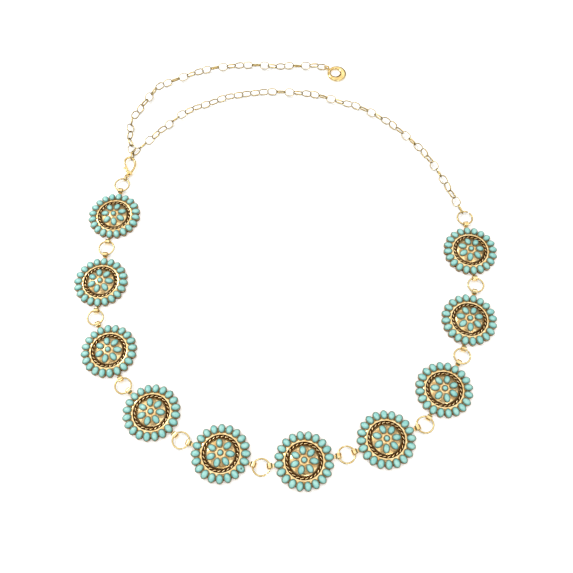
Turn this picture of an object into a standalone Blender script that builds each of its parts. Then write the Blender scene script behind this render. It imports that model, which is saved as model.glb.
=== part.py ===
"""Concho belt laid open on a table.

Ten round cast conchos with set stones, jump rings between them, a lobster
clasp at one end and a cable chain that closes on it and runs on as a tail.
Metres, +Z up. The belt rests on z = 0 and the origin is the middle of its
footprint. The conchos lie along the front, the chain along the back.
"""

from math import atan2, cos, pi, radians, sin, sqrt

import bmesh
import bpy
import numpy as np
from mathutils import Matrix, Vector

MM = 0.001
BELT_NAME = "concho_belt"

# Concho: a round cast plate with two rows of stones
CONCHO_RADIUS = 20.3 * MM
OUTER_STONE_COUNT = 20
OUTER_STONE_LENGTH = 6.3 * MM
EDGE_THICKNESS = 1.4 * MM
BED_RISE = 1.0 * MM
SCALLOP_DEPTH = 1.2 * MM
CHANNEL_WIDTH = 3.4 * MM
DOME_STEP = 0.8 * MM
DOME_RISE = 2.0 * MM
DOME_SHARES = (1.0, 0.6, 0.0)
ROOT_DEPTH = 0.7 * MM
STONE_HEIGHT = 1.9 * MM
STONE_SHOULDER = 1.1 * MM
STONE_SEAT_GAP = 0.3 * MM
VALLEY_HEIGHT = 0.5 * MM
VALLEY_SHARE = 0.62

# Flower of seven oval stones round one button stone
PETAL_COUNT = 7
PETAL_LENGTH = 6.1 * MM
BUTTON_RADIUS = 2.2 * MM
PETAL_BUTTON_GAP = 1.4 * MM
PETAL_HEIGHT = 1.2 * MM
PETAL_CROWN_SHARE = 0.67
PETAL_VALLEY_SHARE = 0.45
FLOWER_SEAT_GAP = 0.5 * MM
FLOWER_TURN = radians(13.0)
FLIPPED_CONCHOS = (2, 4, 6, 7, 9)

# Eyelets on the conchos and the jump rings between them
EYELET_WIDTH = 3.6 * MM
EYELET_WALL = 0.9 * MM
STEM_WIDTH = 2.4 * MM
STEM_THICKNESS = 0.7 * MM
STEM_LIFT = 0.5 * MM
JUMP_RING_RADIUS = 5.65 * MM
JUMP_WIRE = 1.2 * MM
RUNNING_GAP = 0.3 * MM
EYELET_PLAY = 0.3 * MM
EYELET_STAND_OFF = 0.73 * MM

# Lay of the conchos: first ring centre, then the direction of each concho
FIRST_RING = (-128.7 * MM, 59.6 * MM)
CONCHO_HEADINGS = (261.9, 266.4, 294.5, 316.4, 340.0, 6.4, 18.8, 56.7, 72.4, 90.3)
RING_SPLIT_ANGLES = (195, 150, 20, 60, -78, -62, 95, -20, 35, 160, 42)
WIDE_SPLIT_RINGS = (5, 10)
RING_SPLIT = 0.4 * MM
WIDE_RING_SPLIT = 1.0 * MM

# Cable chain: oblong links, each turned from the last about the chain's line
LINK_LENGTH = 8.45 * MM
LINK_WIDTH = 6.5 * MM
LINK_WIRE = 0.7 * MM
LINK_BAND = 1.25 * MM
LINK_TURN = radians(72.0)
JOINED_OVERLAP = 0.2 * MM
LINKS_PER_STRETCH = 8
TAIL_LINK_COUNT = 31

# Twist of the main chain: up to which link, and the turn of each link from the last
MAIN_TWIST = ((30, LINK_TURN), (38, radians(92.0)), (46, LINK_TURN))

# Lobster clasp: places are measured from the lever's hinge, across and along
CLASP_HEADING = radians(86.0)
CLASP_RING_HEADING = radians(67.0)
CLASP_WIRE = 1.7 * MM
CLASP_LEVEL = 2.3 * MM
CLASP_RING_RADIUS = 2.2 * MM
CLASP_RING_WIRE = 0.9 * MM
HINGE_EYE = (-0.75, -3.1)
EYE_RADIUS = 1.35 * MM
CHEEK_RADIUS = 1.7 * MM
CHEEK_THICKNESS = 0.5 * MM
LEVER_THICKNESS = 1.0 * MM
HUB_RADIUS = 1.1 * MM
PIN_RADIUS = 0.35 * MM
PIN_PLAY = 0.27 * MM
WEB_SIZE = (1.6 * MM, 2.4 * MM, 2.5 * MM)
NECK_SIZE = (0.6 * MM, 1.6 * MM, 2.5 * MM)
LEVER_ROOT_WIDTH = 2.0 * MM
LEVER_TIP_WIDTH = 1.2 * MM
LEVER_TIP_GAP = 0.6 * MM
THUMB_TAB_SIZE = (2.2 * MM, 1.5 * MM)
THUMB_TAB_PLACE = 0.62

# Middle line of the clasp's hook, in millimetres across and along
HOOK_LINE = (
    (2.3, 0.1), (3.0, 2.1), (4.1, 4.8), (4.5, 7.6), (3.9, 10.9), (2.0, 13.9),
    (-0.9, 15.1), (-3.4, 13.7), (-4.2, 11.0), (-3.7, 8.9),
)
HOOK_LINK_PLACE = (1.2, 14.5)
HOOK_LINK_HEADING = radians(82.0)
BRANCH_HEADINGS = (radians(57.0), radians(97.5))
BRANCH_TURNS = (radians(-15.0), 0.0)
BRANCH_STACK = 1.15 * MM
BRANCH_GAP = 0.45 * MM

# End ring: a flat polished ring with an eye for the last link
END_RING_RADIUS = 8.0 * MM
END_HOLE_RADIUS = 3.95 * MM
END_HOLE_OFFSET = 1.5 * MM
END_RING_THICKNESS = 2.5 * MM
END_EDGE_SHARE = 0.3
END_EYE_RADIUS = 1.75 * MM
END_EYE_WIRE = 1.3 * MM
END_RING_HEADING = radians(-36.0)
END_NECK_SIZE = (2.6 * MM, 2.0 * MM, 1.2 * MM)
END_EYE_STAND_OFF = 0.5 * MM

# Routes of the chain, chosen points in millimetres, from its first link on
MAIN_ROUTE = (
    (125.3, 54.9), (115.9, 75.8), (107.9, 87.9), (93.6, 105.6), (83.1, 115.1), (65.4, 127.8),
    (51.8, 133.1), (31.1, 141.8), (16.9, 144.8), (-5.0, 147.1), (-19.2, 146.9), (-33.0, 145.2),
    (-46.4, 142.9), (-59.5, 137.4), (-72.4, 132.7), (-84.5, 125.5), (-90.2, 119.8),
    (-100.4, 110.0), (-109.9, 100.1),
)
TAIL_ROUTE = (
    (-125.1, 103.9), (-124.7, 110.3), (-125.4, 117.5), (-122.8, 125.9), (-119.4, 131.6),
    (-116.3, 137.2), (-112.9, 143.7), (-109.1, 149.0), (-104.9, 155.9), (-92.8, 162.3),
    (-85.3, 165.6), (-72.1, 170.8), (-58.4, 175.0), (-51.3, 175.8), (-37.0, 177.1),
    (-23.1, 177.1), (-15.4, 176.4), (-0.9, 174.5), (6.2, 175.1), (19.2, 174.2), (26.1, 174.8),
    (34.0, 173.6), (39.8, 171.5), (48.4, 165.3),
)

# How finely the round shapes are cut, and how long the searches for a seat go on
LINK_SIDES = 8
WIRE_SIDES = 4
RING_POINTS = 14
RING_RESOLUTION = 0
DOME_SIDES = 18
EYELET_SIDES = 8
EYE_SIDES = 12
EYE_WIRE_SIDES = 6
CHEEK_SIDES = 12
HUB_SIDES = 14
PIN_SIDES = 8
PIN_HOLE_SIDES = 10
HOOK_RESOLUTION = 1
HOOK_POINT_STEP = 2
END_RING_SIDES = 20
END_HOLE_SIDES = 16
SMOOTH_SIDES = 96
ROUTE_STEPS = 4
SEARCH_STEPS = 18
CLOSING_SLACK = 0.15 * MM
TAIL_SLACK = 0.06 * MM
QUARTER = 0.25

# Sizes that follow from the ones above
BED_RADIUS = CONCHO_RADIUS - OUTER_STONE_LENGTH - STONE_SEAT_GAP
BED_LEVEL = EDGE_THICKNESS + BED_RISE
DOME_RADIUS = BED_RADIUS - CHANNEL_WIDTH
DOME_EDGE = BED_LEVEL + DOME_STEP
RING_LEVEL = EYELET_WALL + JUMP_WIRE / 2 + 2 * EYELET_PLAY
EYELET_HOLE = RING_LEVEL - EYELET_WALL
EYELET_PLACE = CONCHO_RADIUS + EYELET_STAND_OFF + RING_LEVEL
RING_SEAT = EYELET_PLACE - EYELET_PLAY / 2
CONCHO_STEP = 2 * (RING_SEAT + JUMP_RING_RADIUS)
LINK_RADIUS = (LINK_WIDTH - LINK_WIRE) / 2 / cos(pi / LINK_SIDES)
LINK_STRETCH = (LINK_LENGTH - LINK_WIDTH) / 2
CHAIN_LEVEL = LINK_WIDTH / 2
CLASP_RING_LEVEL = CLASP_RING_RADIUS + CLASP_RING_WIRE / 2
END_EYE_LEVEL = END_EYE_RADIUS + END_EYE_WIRE / 2
HUB_WALL = HUB_RADIUS - PIN_RADIUS - PIN_PLAY
STEM_LEVEL = STEM_LIFT + STEM_THICKNESS / 2


def clear_scene():
    """Remove every object, so that the script starts from nothing."""
    for item in list(bpy.data.objects):
        bpy.data.objects.remove(item, do_unlink=True)


def make_collection(name):
    """Return a new collection linked to the scene."""
    collection = bpy.data.collections.new(name)
    bpy.context.scene.collection.children.link(collection)
    return collection


def make_material(name, colour, metallic, roughness):
    """Return a Principled material with one colour and finish."""
    material = bpy.data.materials.new(name)
    material.use_nodes = True
    shader = material.node_tree.nodes["Principled BSDF"]
    shader.inputs["Base Color"].default_value = (*colour, 1.0)
    shader.inputs["Metallic"].default_value = metallic
    shader.inputs["Roughness"].default_value = roughness
    return material


def gold(name):
    """Return the polished gold plating of one sub-part."""
    return make_material(name + "_gold", (0.83, 0.55, 0.2), 1.0, 0.22)


def turquoise(name):
    """Return the pale turquoise of one set of stones."""
    return make_material(name + "_turquoise", (0.3, 0.74, 0.66), 0.0, 0.3)


def finish(item, collection, name, material, smooth_angle=radians(40)):
    """Name an object, shade it, give it its material and move it to a collection."""
    item.name = name
    item.data.name = name
    item.data.materials.clear()
    item.data.materials.append(material)
    item.data.shade_smooth()
    item.data.set_sharp_from_angle(angle=smooth_angle)
    put_in(item, collection)
    return item


def put_in(item, collection):
    """Link an object to one collection only."""
    for owner in list(item.users_collection):
        owner.objects.unlink(item)
    collection.objects.link(item)


def object_from_bmesh(mesh, name):
    """Return a new object that holds a bmesh with its faces turned out."""
    bmesh.ops.recalc_face_normals(mesh, faces=mesh.faces)
    data = bpy.data.meshes.new(name)
    mesh.to_mesh(data)
    mesh.free()
    item = bpy.data.objects.new(name, data)
    bpy.context.scene.collection.objects.link(item)
    return item


def move_mesh(item, matrix):
    """Apply a matrix to an object's mesh."""
    item.data.transform(matrix)
    return item


def turn_profile(profile, steps, name):
    """Spin a closed or axis-to-axis profile of (radius, height) about Z."""
    mesh = bmesh.new()
    points = [mesh.verts.new((radius, 0.0, height)) for radius, height in profile]
    edges = [mesh.edges.new(pair) for pair in zip(points, points[1:])]
    if profile[0][0] > 0:
        edges.append(mesh.edges.new((points[-1], points[0])))
    bmesh.ops.spin(
        mesh, geom=points + edges, cent=(0, 0, 0), axis=(0, 0, 1), dvec=(0, 0, 0),
        angle=2 * pi, steps=steps, use_merge=True,
    )
    bmesh.ops.remove_doubles(mesh, verts=mesh.verts, dist=0.001 * MM)
    return object_from_bmesh(mesh, name)


def cylinder(radius, low, high, sides, name):
    """Return a capped cylinder about Z between two heights."""
    mesh = bmesh.new()
    bmesh.ops.create_cone(
        mesh, cap_ends=True, segments=sides, radius1=radius, radius2=radius, depth=high - low,
        matrix=Matrix.Translation((0, 0, (low + high) / 2)),
    )
    return object_from_bmesh(mesh, name)


def box(size, centre, name):
    """Return a box of a given size and centre."""
    mesh = bmesh.new()
    bmesh.ops.create_cube(mesh, size=1.0, matrix=Matrix.Translation(centre) @ Matrix.Diagonal((*size, 1.0)))
    return object_from_bmesh(mesh, name)


def torus(radius, wire, sides, wire_sides, name):
    """Return a round ring about Z with its middle line at the origin's level."""
    bpy.ops.mesh.primitive_torus_add(
        major_radius=radius, minor_radius=wire / 2, major_segments=sides, minor_segments=wire_sides,
    )
    item = bpy.context.object
    item.name = name
    return item


def loop_ring(loop, wire_sides, name):
    """Return a loop's wire about Z: a torus, or a chain link of flattened wire."""
    item = torus(loop.radius, loop.wire, loop.sides, wire_sides, name)
    if loop.stretch:
        flatten = Matrix.Scale(LINK_BAND / LINK_WIRE, 4, (0, 0, 1))
        move_mesh(item, flatten @ Matrix.Rotation(pi / loop.sides, 4, "Z"))
        for vert in item.data.vertices:
            vert.co.x += loop.stretch if vert.co.x > 0 else -loop.stretch
    return item


def wire_along(points, wire, resolution, name):
    """Return a welded mesh tube along a list of points."""
    curve = bpy.data.curves.new(name, "CURVE")
    curve.dimensions = "3D"
    curve.bevel_depth = wire / 2
    curve.bevel_resolution = resolution
    curve.use_fill_caps = True
    spline = curve.splines.new("POLY")
    spline.points.add(len(points) - 1)
    for point, place in zip(spline.points, points):
        point.co = (*place, 1.0)
    guide = bpy.data.objects.new(name, curve)
    bpy.context.scene.collection.objects.link(guide)
    graph = bpy.context.evaluated_depsgraph_get()
    data = bpy.data.meshes.new_from_object(guide.evaluated_get(graph))
    bpy.data.objects.remove(guide, do_unlink=True)
    mesh = bmesh.new()
    mesh.from_mesh(data)
    bmesh.ops.remove_doubles(mesh, verts=mesh.verts, dist=0.001 * MM)
    bpy.data.meshes.remove(data)
    return object_from_bmesh(mesh, name)


def combine(item, others, operation):
    """Join others to an object, or cut them from it, with exact booleans."""
    cutters = bpy.data.collections[BELT_NAME + "_cutters"]
    for number, other in enumerate(others):
        other.hide_render = True
        other.display_type = "WIRE"
        other.name = "{}_{}_{}".format(item.name, operation.lower(), number)
        put_in(other, cutters)
        step = item.modifiers.new(other.name, "BOOLEAN")
        step.operation = operation
        step.solver = "EXACT"
        step.object = other
    return item


def smooth_route(points):
    """Return a dense smooth line through a route's points, in the route's own unit."""
    line = [Vector((x, y, 0.0)) for x, y in points]
    line = [2 * line[0] - line[1], *line, 2 * line[-1] - line[-2]]
    dense = []
    for before, start, end, after in zip(line, line[1:], line[2:], line[3:]):
        for step in range(ROUTE_STEPS):
            t = step / ROUTE_STEPS
            dense.append(0.5 * (
                2 * start + (end - before) * t
                + (2 * before - 5 * start + 4 * end - after) * t ** 2
                + (3 * start - before - 3 * end + after) * t ** 3
            ))
    dense.append(line[-2])
    return dense


class Loop:
    """A wire loop in space: its middle, its axes, its size and its wire.

    A round loop has corners all round its radius. An oblong one has half of them at each end,
    moved out by its stretch.
    """

    def __init__(self, centre, heading, turn, radius, wire, sides, stretch=0.0):
        self.centre = Vector(centre)
        self.heading = heading
        self.turn = turn
        self.radius = radius
        self.wire = wire
        self.sides = sides
        self.stretch = stretch
        self.reach = stretch + radius * (cos(pi / sides) if stretch else 1.0)
        self.matrix = Matrix.Rotation(heading, 4, "Z") @ Matrix.Rotation(turn, 4, "X")

    def middle_line(self):
        """Return points of the wire's middle line, straight between its corners."""
        start = 0.5 if self.stretch else 0.0
        angles = (np.arange(self.sides) + start) * 2 * pi / self.sides
        along = self.radius * np.cos(angles) + self.stretch * np.sign(np.cos(angles))
        corners = np.stack([along, self.radius * np.sin(angles), 0 * angles], axis=1)
        steps = SMOOTH_SIDES // self.sides
        shares = np.arange(steps)[None, :, None] / steps
        ends = np.roll(corners, -1, axis=0)
        flat = corners[:, None] * (1 - shares) + ends[:, None] * shares
        return flat.reshape(-1, 3) @ np.array(self.matrix.to_3x3()).T + np.array(self.centre)

    def gap_to(self, other):
        """Return the clear distance between two wires, less than 0 where they meet."""
        steps = self.middle_line()[:, None] - other.middle_line()[None]
        return sqrt((steps ** 2).sum(axis=2).min()) - (self.wire + other.wire) / 2

    def place(self):
        """Return the matrix that carries a flat ring onto this loop."""
        return Matrix.Translation(self.centre) @ self.matrix

    def ahead(self, distance, heading):
        """Return the place on the ground plan at a distance from the middle."""
        return self.centre + distance * Vector((cos(heading), sin(heading), 0.0))


def chain_link(spot, level, heading, turn):
    """Return one oblong chain link over a spot of the ground plan."""
    return Loop((spot.x, spot.y, level), heading, turn, LINK_RADIUS, LINK_WIRE, LINK_SIDES, LINK_STRETCH)


def hang_loop(last, loop, heading, gap=RUNNING_GAP):
    """Return a loop moved so that it hooks the last one, in a given direction and with a given gap."""
    level = loop.centre.z
    near = last.reach
    far = last.reach + loop.reach
    for _ in range(SEARCH_STEPS):
        reach = (near + far) / 2
        spot = last.ahead(reach, heading)
        loop.centre = Vector((spot.x, spot.y, level))
        if loop.gap_to(last) > gap:
            near = reach
        else:
            far = reach
    return loop


def point_past(line, start, distance):
    """Return the first point of a line past start that lies at a distance from it."""
    middle = start.xy.to_3d()
    inside = False
    for before, after in zip(line, line[1:]):
        near = (before - middle).length
        far = (after - middle).length
        inside = inside or near < distance
        if inside and far >= distance:
            return before.lerp(after, (distance - near) / (far - near))
    return line[-1]


def next_link(line, last, turn, level, gap):
    """Return the chain link on a line that hooks the last one with a given gap to it."""
    near = last.reach
    far = last.reach + LINK_LENGTH / 2
    for _ in range(SEARCH_STEPS):
        reach = (near + far) / 2
        spot = point_past(line, last.centre, reach)
        step = (spot - last.centre).xy
        link = chain_link(spot, level, atan2(step.y, step.x), turn)
        if link.gap_to(last) > gap:
            near = reach
        else:
            far = reach
    return link


def lay_links(route, first, turns, slack, started):
    """Return the links that follow a first loop along a route, some already made."""
    points = [(first.centre.x / MM, first.centre.y / MM), *route]
    line = [point * MM for point in smooth_route(points)]
    links = []
    last = first
    for number, (turn, level) in enumerate(turns, start=started):
        joined = number % LINKS_PER_STRETCH > 0
        gap = (-JOINED_OVERLAP if joined else RUNNING_GAP) + slack
        last = next_link(line, last, turn, level, gap)
        links.append(last)
    return links


def main_turns():
    """Return the turn and level of each main link, as the chain lies twisted."""
    turns = []
    turn = 0.0
    for last, step in MAIN_TWIST:
        for _ in range(len(turns), last):
            turn += step
            turns.append((turn, CHAIN_LEVEL))
    return turns


def tail_turns():
    """Return the turn and level of each tail link past the first one."""
    turns = [(number * LINK_TURN, CHAIN_LEVEL) for number in range(1, TAIL_LINK_COUNT)]
    turns[-1] = (turns[-1][0], END_EYE_LEVEL)
    return turns


def close_main_chain(first, last):
    """Return the main links, with the small slack that makes them end at the last one."""
    route = [*MAIN_ROUTE, (last.centre.x / MM, last.centre.y / MM)]
    low = -CLOSING_SLACK
    high = CLOSING_SLACK
    for _ in range(SEARCH_STEPS // 2):
        slack = (low + high) / 2
        links = lay_links(route, first, main_turns(), slack, 0)
        ideal = chain_link(last.centre, last.centre.z, last.heading, last.turn)
        wanted = hang_loop(links[-1], ideal, last.heading, slack - JOINED_OVERLAP)
        reach = (last.centre - links[-1].centre).xy.length
        if reach > (wanted.centre - links[-1].centre).xy.length:
            high = slack
        else:
            low = slack
    return [*links, last]


def clasp_point(hinge, across, along):
    """Return the world place of a point given in millimetres from the clasp's hinge."""
    turn = Matrix.Rotation(CLASP_HEADING - pi / 2, 3, "Z")
    return hinge + turn @ Vector((across * MM, along * MM, 0.0))


def clasp_frame(hinge):
    """Return the matrix of the clasp's own axes, with its origin at the hinge."""
    return Matrix.Translation(hinge) @ Matrix.Rotation(CLASP_HEADING - pi / 2, 4, "Z")


def hook_link_on(hinge):
    """Return the link that hangs on the clasp's hook, standing on its edge."""
    hook = smooth_route(HOOK_LINE)
    wire = np.array([clasp_point(hinge, point.x, point.y) for point in hook])
    start = clasp_point(hinge, *HOOK_LINK_PLACE)
    near = 0.0
    far = LINK_LENGTH / 2
    for _ in range(SEARCH_STEPS):
        reach = (near + far) / 2
        spot = start + reach * Vector((cos(HOOK_LINK_HEADING), sin(HOOK_LINK_HEADING), 0.0))
        link = chain_link(spot, CHAIN_LEVEL, HOOK_LINK_HEADING, pi / 2)
        steps = link.middle_line()[:, None] - wire[None]
        gap = sqrt((steps ** 2).sum(axis=2).min()) - (LINK_WIRE + CLASP_WIRE) / 2
        if gap > RUNNING_GAP:
            near = reach
        else:
            far = reach
    return link


def bed_height(radius):
    """Return the height of the plate's sloping bed at a radius."""
    share = (CONCHO_RADIUS - radius) / (CONCHO_RADIUS - BED_RADIUS)
    return EDGE_THICKNESS + BED_RISE * share


def dome_height(radius):
    """Return the height of the plate's middle dome at a radius."""
    return DOME_EDGE + DOME_RISE * (1 - (radius / DOME_RADIUS) ** 2)


def scallop(item, start, depth, count):
    """Pull in every second row of points past a radius, between the stones."""
    for vert in item.data.vertices:
        reach = vert.co.xy.length
        if reach < start:
            continue
        turn = atan2(vert.co.y, vert.co.x) * count / (2 * pi)
        if abs(turn - round(turn)) > QUARTER:
            vert.co.xy *= (reach - depth) / reach
    return item


def concho_plate(name):
    """Return the cast plate: scalloped bed, middle dome and two eyelets."""
    bed = [(0, 0), (CONCHO_RADIUS, 0), (CONCHO_RADIUS, EDGE_THICKNESS), (BED_RADIUS, BED_LEVEL)]
    bed.append((0, BED_LEVEL))
    plate = turn_profile(bed, 2 * OUTER_STONE_COUNT, name)
    scallop(plate, CONCHO_RADIUS - SCALLOP_DEPTH, SCALLOP_DEPTH, OUTER_STONE_COUNT)
    radii = [share * DOME_RADIUS for share in DOME_SHARES]
    dome = [(0, BED_LEVEL - ROOT_DEPTH), (DOME_RADIUS, BED_LEVEL - ROOT_DEPTH)]
    dome += [(radius, dome_height(radius)) for radius in radii]
    off_corner = Matrix.Rotation(pi / DOME_SIDES / 2, 4, "Z")
    extras = [move_mesh(turn_profile(dome, DOME_SIDES, "dome"), off_corner)]
    for side in (-1, 1):
        turn = Matrix.Translation((side * EYELET_PLACE, 0, RING_LEVEL)) @ Matrix.Rotation(pi / 2, 4, "X")
        band = eyelet_band("band")
        extras.append(move_mesh(band, turn))
        start = CONCHO_RADIUS - ROOT_DEPTH
        end = EYELET_PLACE - EYELET_HOLE + RUNNING_GAP
        size = (end - start, STEM_WIDTH, STEM_THICKNESS)
        extras.append(box(size, (side * (start + end) / 2, 0, STEM_LEVEL), "stem"))
    return combine(plate, extras, "UNION")


def eyelet_band(name):
    """Return an eyelet: a short round band with its hole along Z."""
    low = -EYELET_WIDTH / 2
    high = EYELET_WIDTH / 2
    profile = [(EYELET_HOLE, low), (RING_LEVEL, low), (RING_LEVEL, high), (EYELET_HOLE, high)]
    return turn_profile(profile, EYELET_SIDES, name)


def stone_ring(name):
    """Return the outer row of stones, joined side to side round the bed."""
    inner = BED_RADIUS + STONE_SEAT_GAP
    outer = CONCHO_RADIUS
    profile = [
        (inner, bed_height(inner) + STONE_SEAT_GAP),
        (outer, bed_height(outer) + STONE_SEAT_GAP),
        (outer - STONE_SHOULDER, bed_height(outer) + STONE_HEIGHT),
        (inner + STONE_SHOULDER, bed_height(inner) + STONE_HEIGHT),
    ]
    ring = turn_profile(profile, 2 * OUTER_STONE_COUNT, name)
    middle = (inner + outer) / 2
    for vert in ring.data.vertices:
        turn = atan2(vert.co.y, vert.co.x) * OUTER_STONE_COUNT / (2 * pi)
        if abs(turn - round(turn)) < QUARTER:
            continue
        reach = vert.co.xy.length
        pulled = middle + (reach - middle) * VALLEY_SHARE
        vert.co.xy *= pulled / reach
        low = bed_height(pulled) + STONE_SEAT_GAP
        raised = vert.co.z - bed_height(reach) > STONE_HEIGHT / 2
        vert.co.z = low + (VALLEY_HEIGHT if raised else 0.0)
    return ring


def flower(name):
    """Return the petals and the button stone, joined at their feet over the dome."""
    petal_in = BUTTON_RADIUS + PETAL_BUTTON_GAP
    petal_out = petal_in + PETAL_LENGTH
    crown = petal_in + PETAL_LENGTH * PETAL_CROWN_SHARE
    rows = ((0.0, PETAL_HEIGHT), (BUTTON_RADIUS, PETAL_HEIGHT), (petal_in, VALLEY_HEIGHT),
            (crown, PETAL_HEIGHT), (petal_out, VALLEY_HEIGHT))
    tops = [(radius, dome_height(radius) + FLOWER_SEAT_GAP + lift) for radius, lift in rows]
    seats = [(radius, dome_height(radius) + FLOWER_SEAT_GAP) for radius in (petal_out, petal_in, 0.0)]
    item = turn_profile([*tops, *seats], 2 * PETAL_COUNT, name)
    for vert in item.data.vertices:
        reach = vert.co.xy.length
        turn = atan2(vert.co.y, vert.co.x) * PETAL_COUNT / (2 * pi)
        if reach < petal_in or abs(turn - round(turn)) < QUARTER:
            continue
        pulled = petal_in + (reach - petal_in) * PETAL_VALLEY_SHARE
        raised = vert.co.z - dome_height(reach) > FLOWER_SEAT_GAP + VALLEY_HEIGHT / 4
        vert.co.xy *= pulled / reach
        lift = VALLEY_HEIGHT * VALLEY_SHARE if raised else 0.0
        vert.co.z = dome_height(pulled) + FLOWER_SEAT_GAP + lift
    return item


def build_concho(number, centre, heading, parts):
    """Make one concho: its plate, its ring of stones and its flower."""
    name = "concho_{:02d}".format(number)
    place = Matrix.Translation(centre) @ Matrix.Rotation(heading, 4, "Z")
    plate = concho_plate(name + "_plate")
    plate.matrix_world = place
    for cutter in [step.object for step in plate.modifiers]:
        cutter.matrix_world = place
    finish(plate, parts, name + "_plate", gold(name))
    stones = stone_ring(name + "_stone_ring")
    stones.matrix_world = place
    finish(stones, parts, name + "_stone_ring", turquoise(name + "_outer"))
    flip = pi if number in FLIPPED_CONCHOS else 0.0
    petals = flower(name + "_flower")
    petals.matrix_world = place @ Matrix.Rotation(flip + FLOWER_TURN, 4, "Z")
    finish(petals, parts, name + "_flower", turquoise(name + "_flower"))


def build_jump_ring(number, loop, split_angle, split, parts):
    """Make one jump ring, bent round from a cut wire, with its cut at an angle."""
    half = split / 2 / loop.radius
    turns = np.linspace(split_angle + half, split_angle + 2 * pi - half, RING_POINTS)
    points = [loop.ahead(loop.radius, turn) for turn in turns]
    name = "jump_ring_{:02d}".format(number)
    ring = wire_along(points, loop.wire, RING_RESOLUTION, name)
    finish(ring, parts, name, gold(name))


def build_loops(name, loops, parts):
    """Make one stretch of chain links, joined where each hooks the next."""
    rings = [move_mesh(loop_ring(loop, WIRE_SIDES, name), loop.place()) for loop in loops]
    combine(rings[0], rings[1:], "UNION")
    finish(rings[0], parts, name, gold(name))


def build_chain(name, links, parts):
    """Make a chain in stretches of a few links each."""
    for stretch, start in enumerate(range(0, len(links), LINKS_PER_STRETCH), start=1):
        build_loops("{}_{}".format(name, stretch), links[start:start + LINKS_PER_STRETCH], parts)


def build_clasp_body(hinge, eye, parts):
    """Make the clasp's body: hook, cheeks, pin, web, neck and eye in one casting."""
    name = "clasp_body"
    points = [clasp_point(hinge, point.x, point.y) for point in smooth_route(HOOK_LINE)[::HOOK_POINT_STEP]]
    points.append(clasp_point(hinge, *HOOK_LINE[-1]))
    body = wire_along(points, CLASP_WIRE, HOOK_RESOLUTION, name)
    frame = clasp_frame(hinge)
    inside = LEVER_THICKNESS / 2 + RUNNING_GAP
    outside = inside + CHEEK_THICKNESS
    extras = [
        cylinder(CHEEK_RADIUS, inside, outside, CHEEK_SIDES, "upper_cheek"),
        cylinder(CHEEK_RADIUS, -outside, -inside, CHEEK_SIDES, "lower_cheek"),
        cylinder(PIN_RADIUS, -inside - RUNNING_GAP, inside + RUNNING_GAP, PIN_SIDES, "pin"),
        box(WEB_SIZE, (HUB_RADIUS + RUNNING_GAP + WEB_SIZE[0] / 2, 0, 0), "web"),
    ]
    for extra in extras:
        move_mesh(extra, frame)
    way = (eye.centre - hinge).xy
    neck_turn = Matrix.Translation(hinge) @ Matrix.Rotation(atan2(way.y, way.x), 4, "Z")
    neck = box(NECK_SIZE, (HUB_RADIUS + RUNNING_GAP + NECK_SIZE[0] / 2, 0, 0), "neck")
    extras.append(move_mesh(neck, neck_turn))
    extras.append(move_mesh(torus(eye.radius, eye.wire, eye.sides, EYE_WIRE_SIDES, "eye"), eye.place()))
    combine(body, extras, "UNION")
    finish(body, parts, name, gold(name))


def build_clasp_lever(hinge, parts):
    """Make the lever: hub, tapered arm and thumb tab, turned about the hinge."""
    name = "clasp_lever"
    half = LEVER_THICKNESS / 2
    tip = Vector(HOOK_LINE[-1]) * MM
    length = tip.length - LEVER_TIP_GAP
    hub = cylinder(HUB_RADIUS, -half, half, HUB_SIDES, name)
    arm = box((length, LEVER_ROOT_WIDTH, LEVER_THICKNESS), (length / 2, 0, 0), "arm")
    for vert in arm.data.vertices:
        if vert.co.x > length / 2:
            vert.co.y *= LEVER_TIP_WIDTH / LEVER_ROOT_WIDTH
        else:
            vert.co.x = PIN_RADIUS + RUNNING_GAP + HUB_WALL / 2
    tab_length, tab_width = THUMB_TAB_SIZE
    tab = box((tab_width, tab_length, LEVER_THICKNESS),
              (length * THUMB_TAB_PLACE, tab_length / 2 + LEVER_TIP_WIDTH / 4, 0), "tab")
    way = Matrix.Rotation(atan2(tip.y, tip.x), 4, "Z")
    for piece in (arm, tab):
        move_mesh(piece, way)
    combine(hub, [arm, tab], "UNION")
    pin_hole = cylinder(PIN_RADIUS + PIN_PLAY, -2 * half, 2 * half, PIN_HOLE_SIDES, "pin_hole")
    combine(hub, [pin_hole], "DIFFERENCE")
    pivot = bpy.data.objects.new("clasp_hinge", None)
    pivot.location = hinge
    pivot.rotation_euler.z = CLASP_HEADING - pi / 2
    put_in(pivot, parts)
    hub.parent = pivot
    for step in hub.modifiers:
        step.object.parent = pivot
    finish(hub, parts, name, gold(name))


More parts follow.
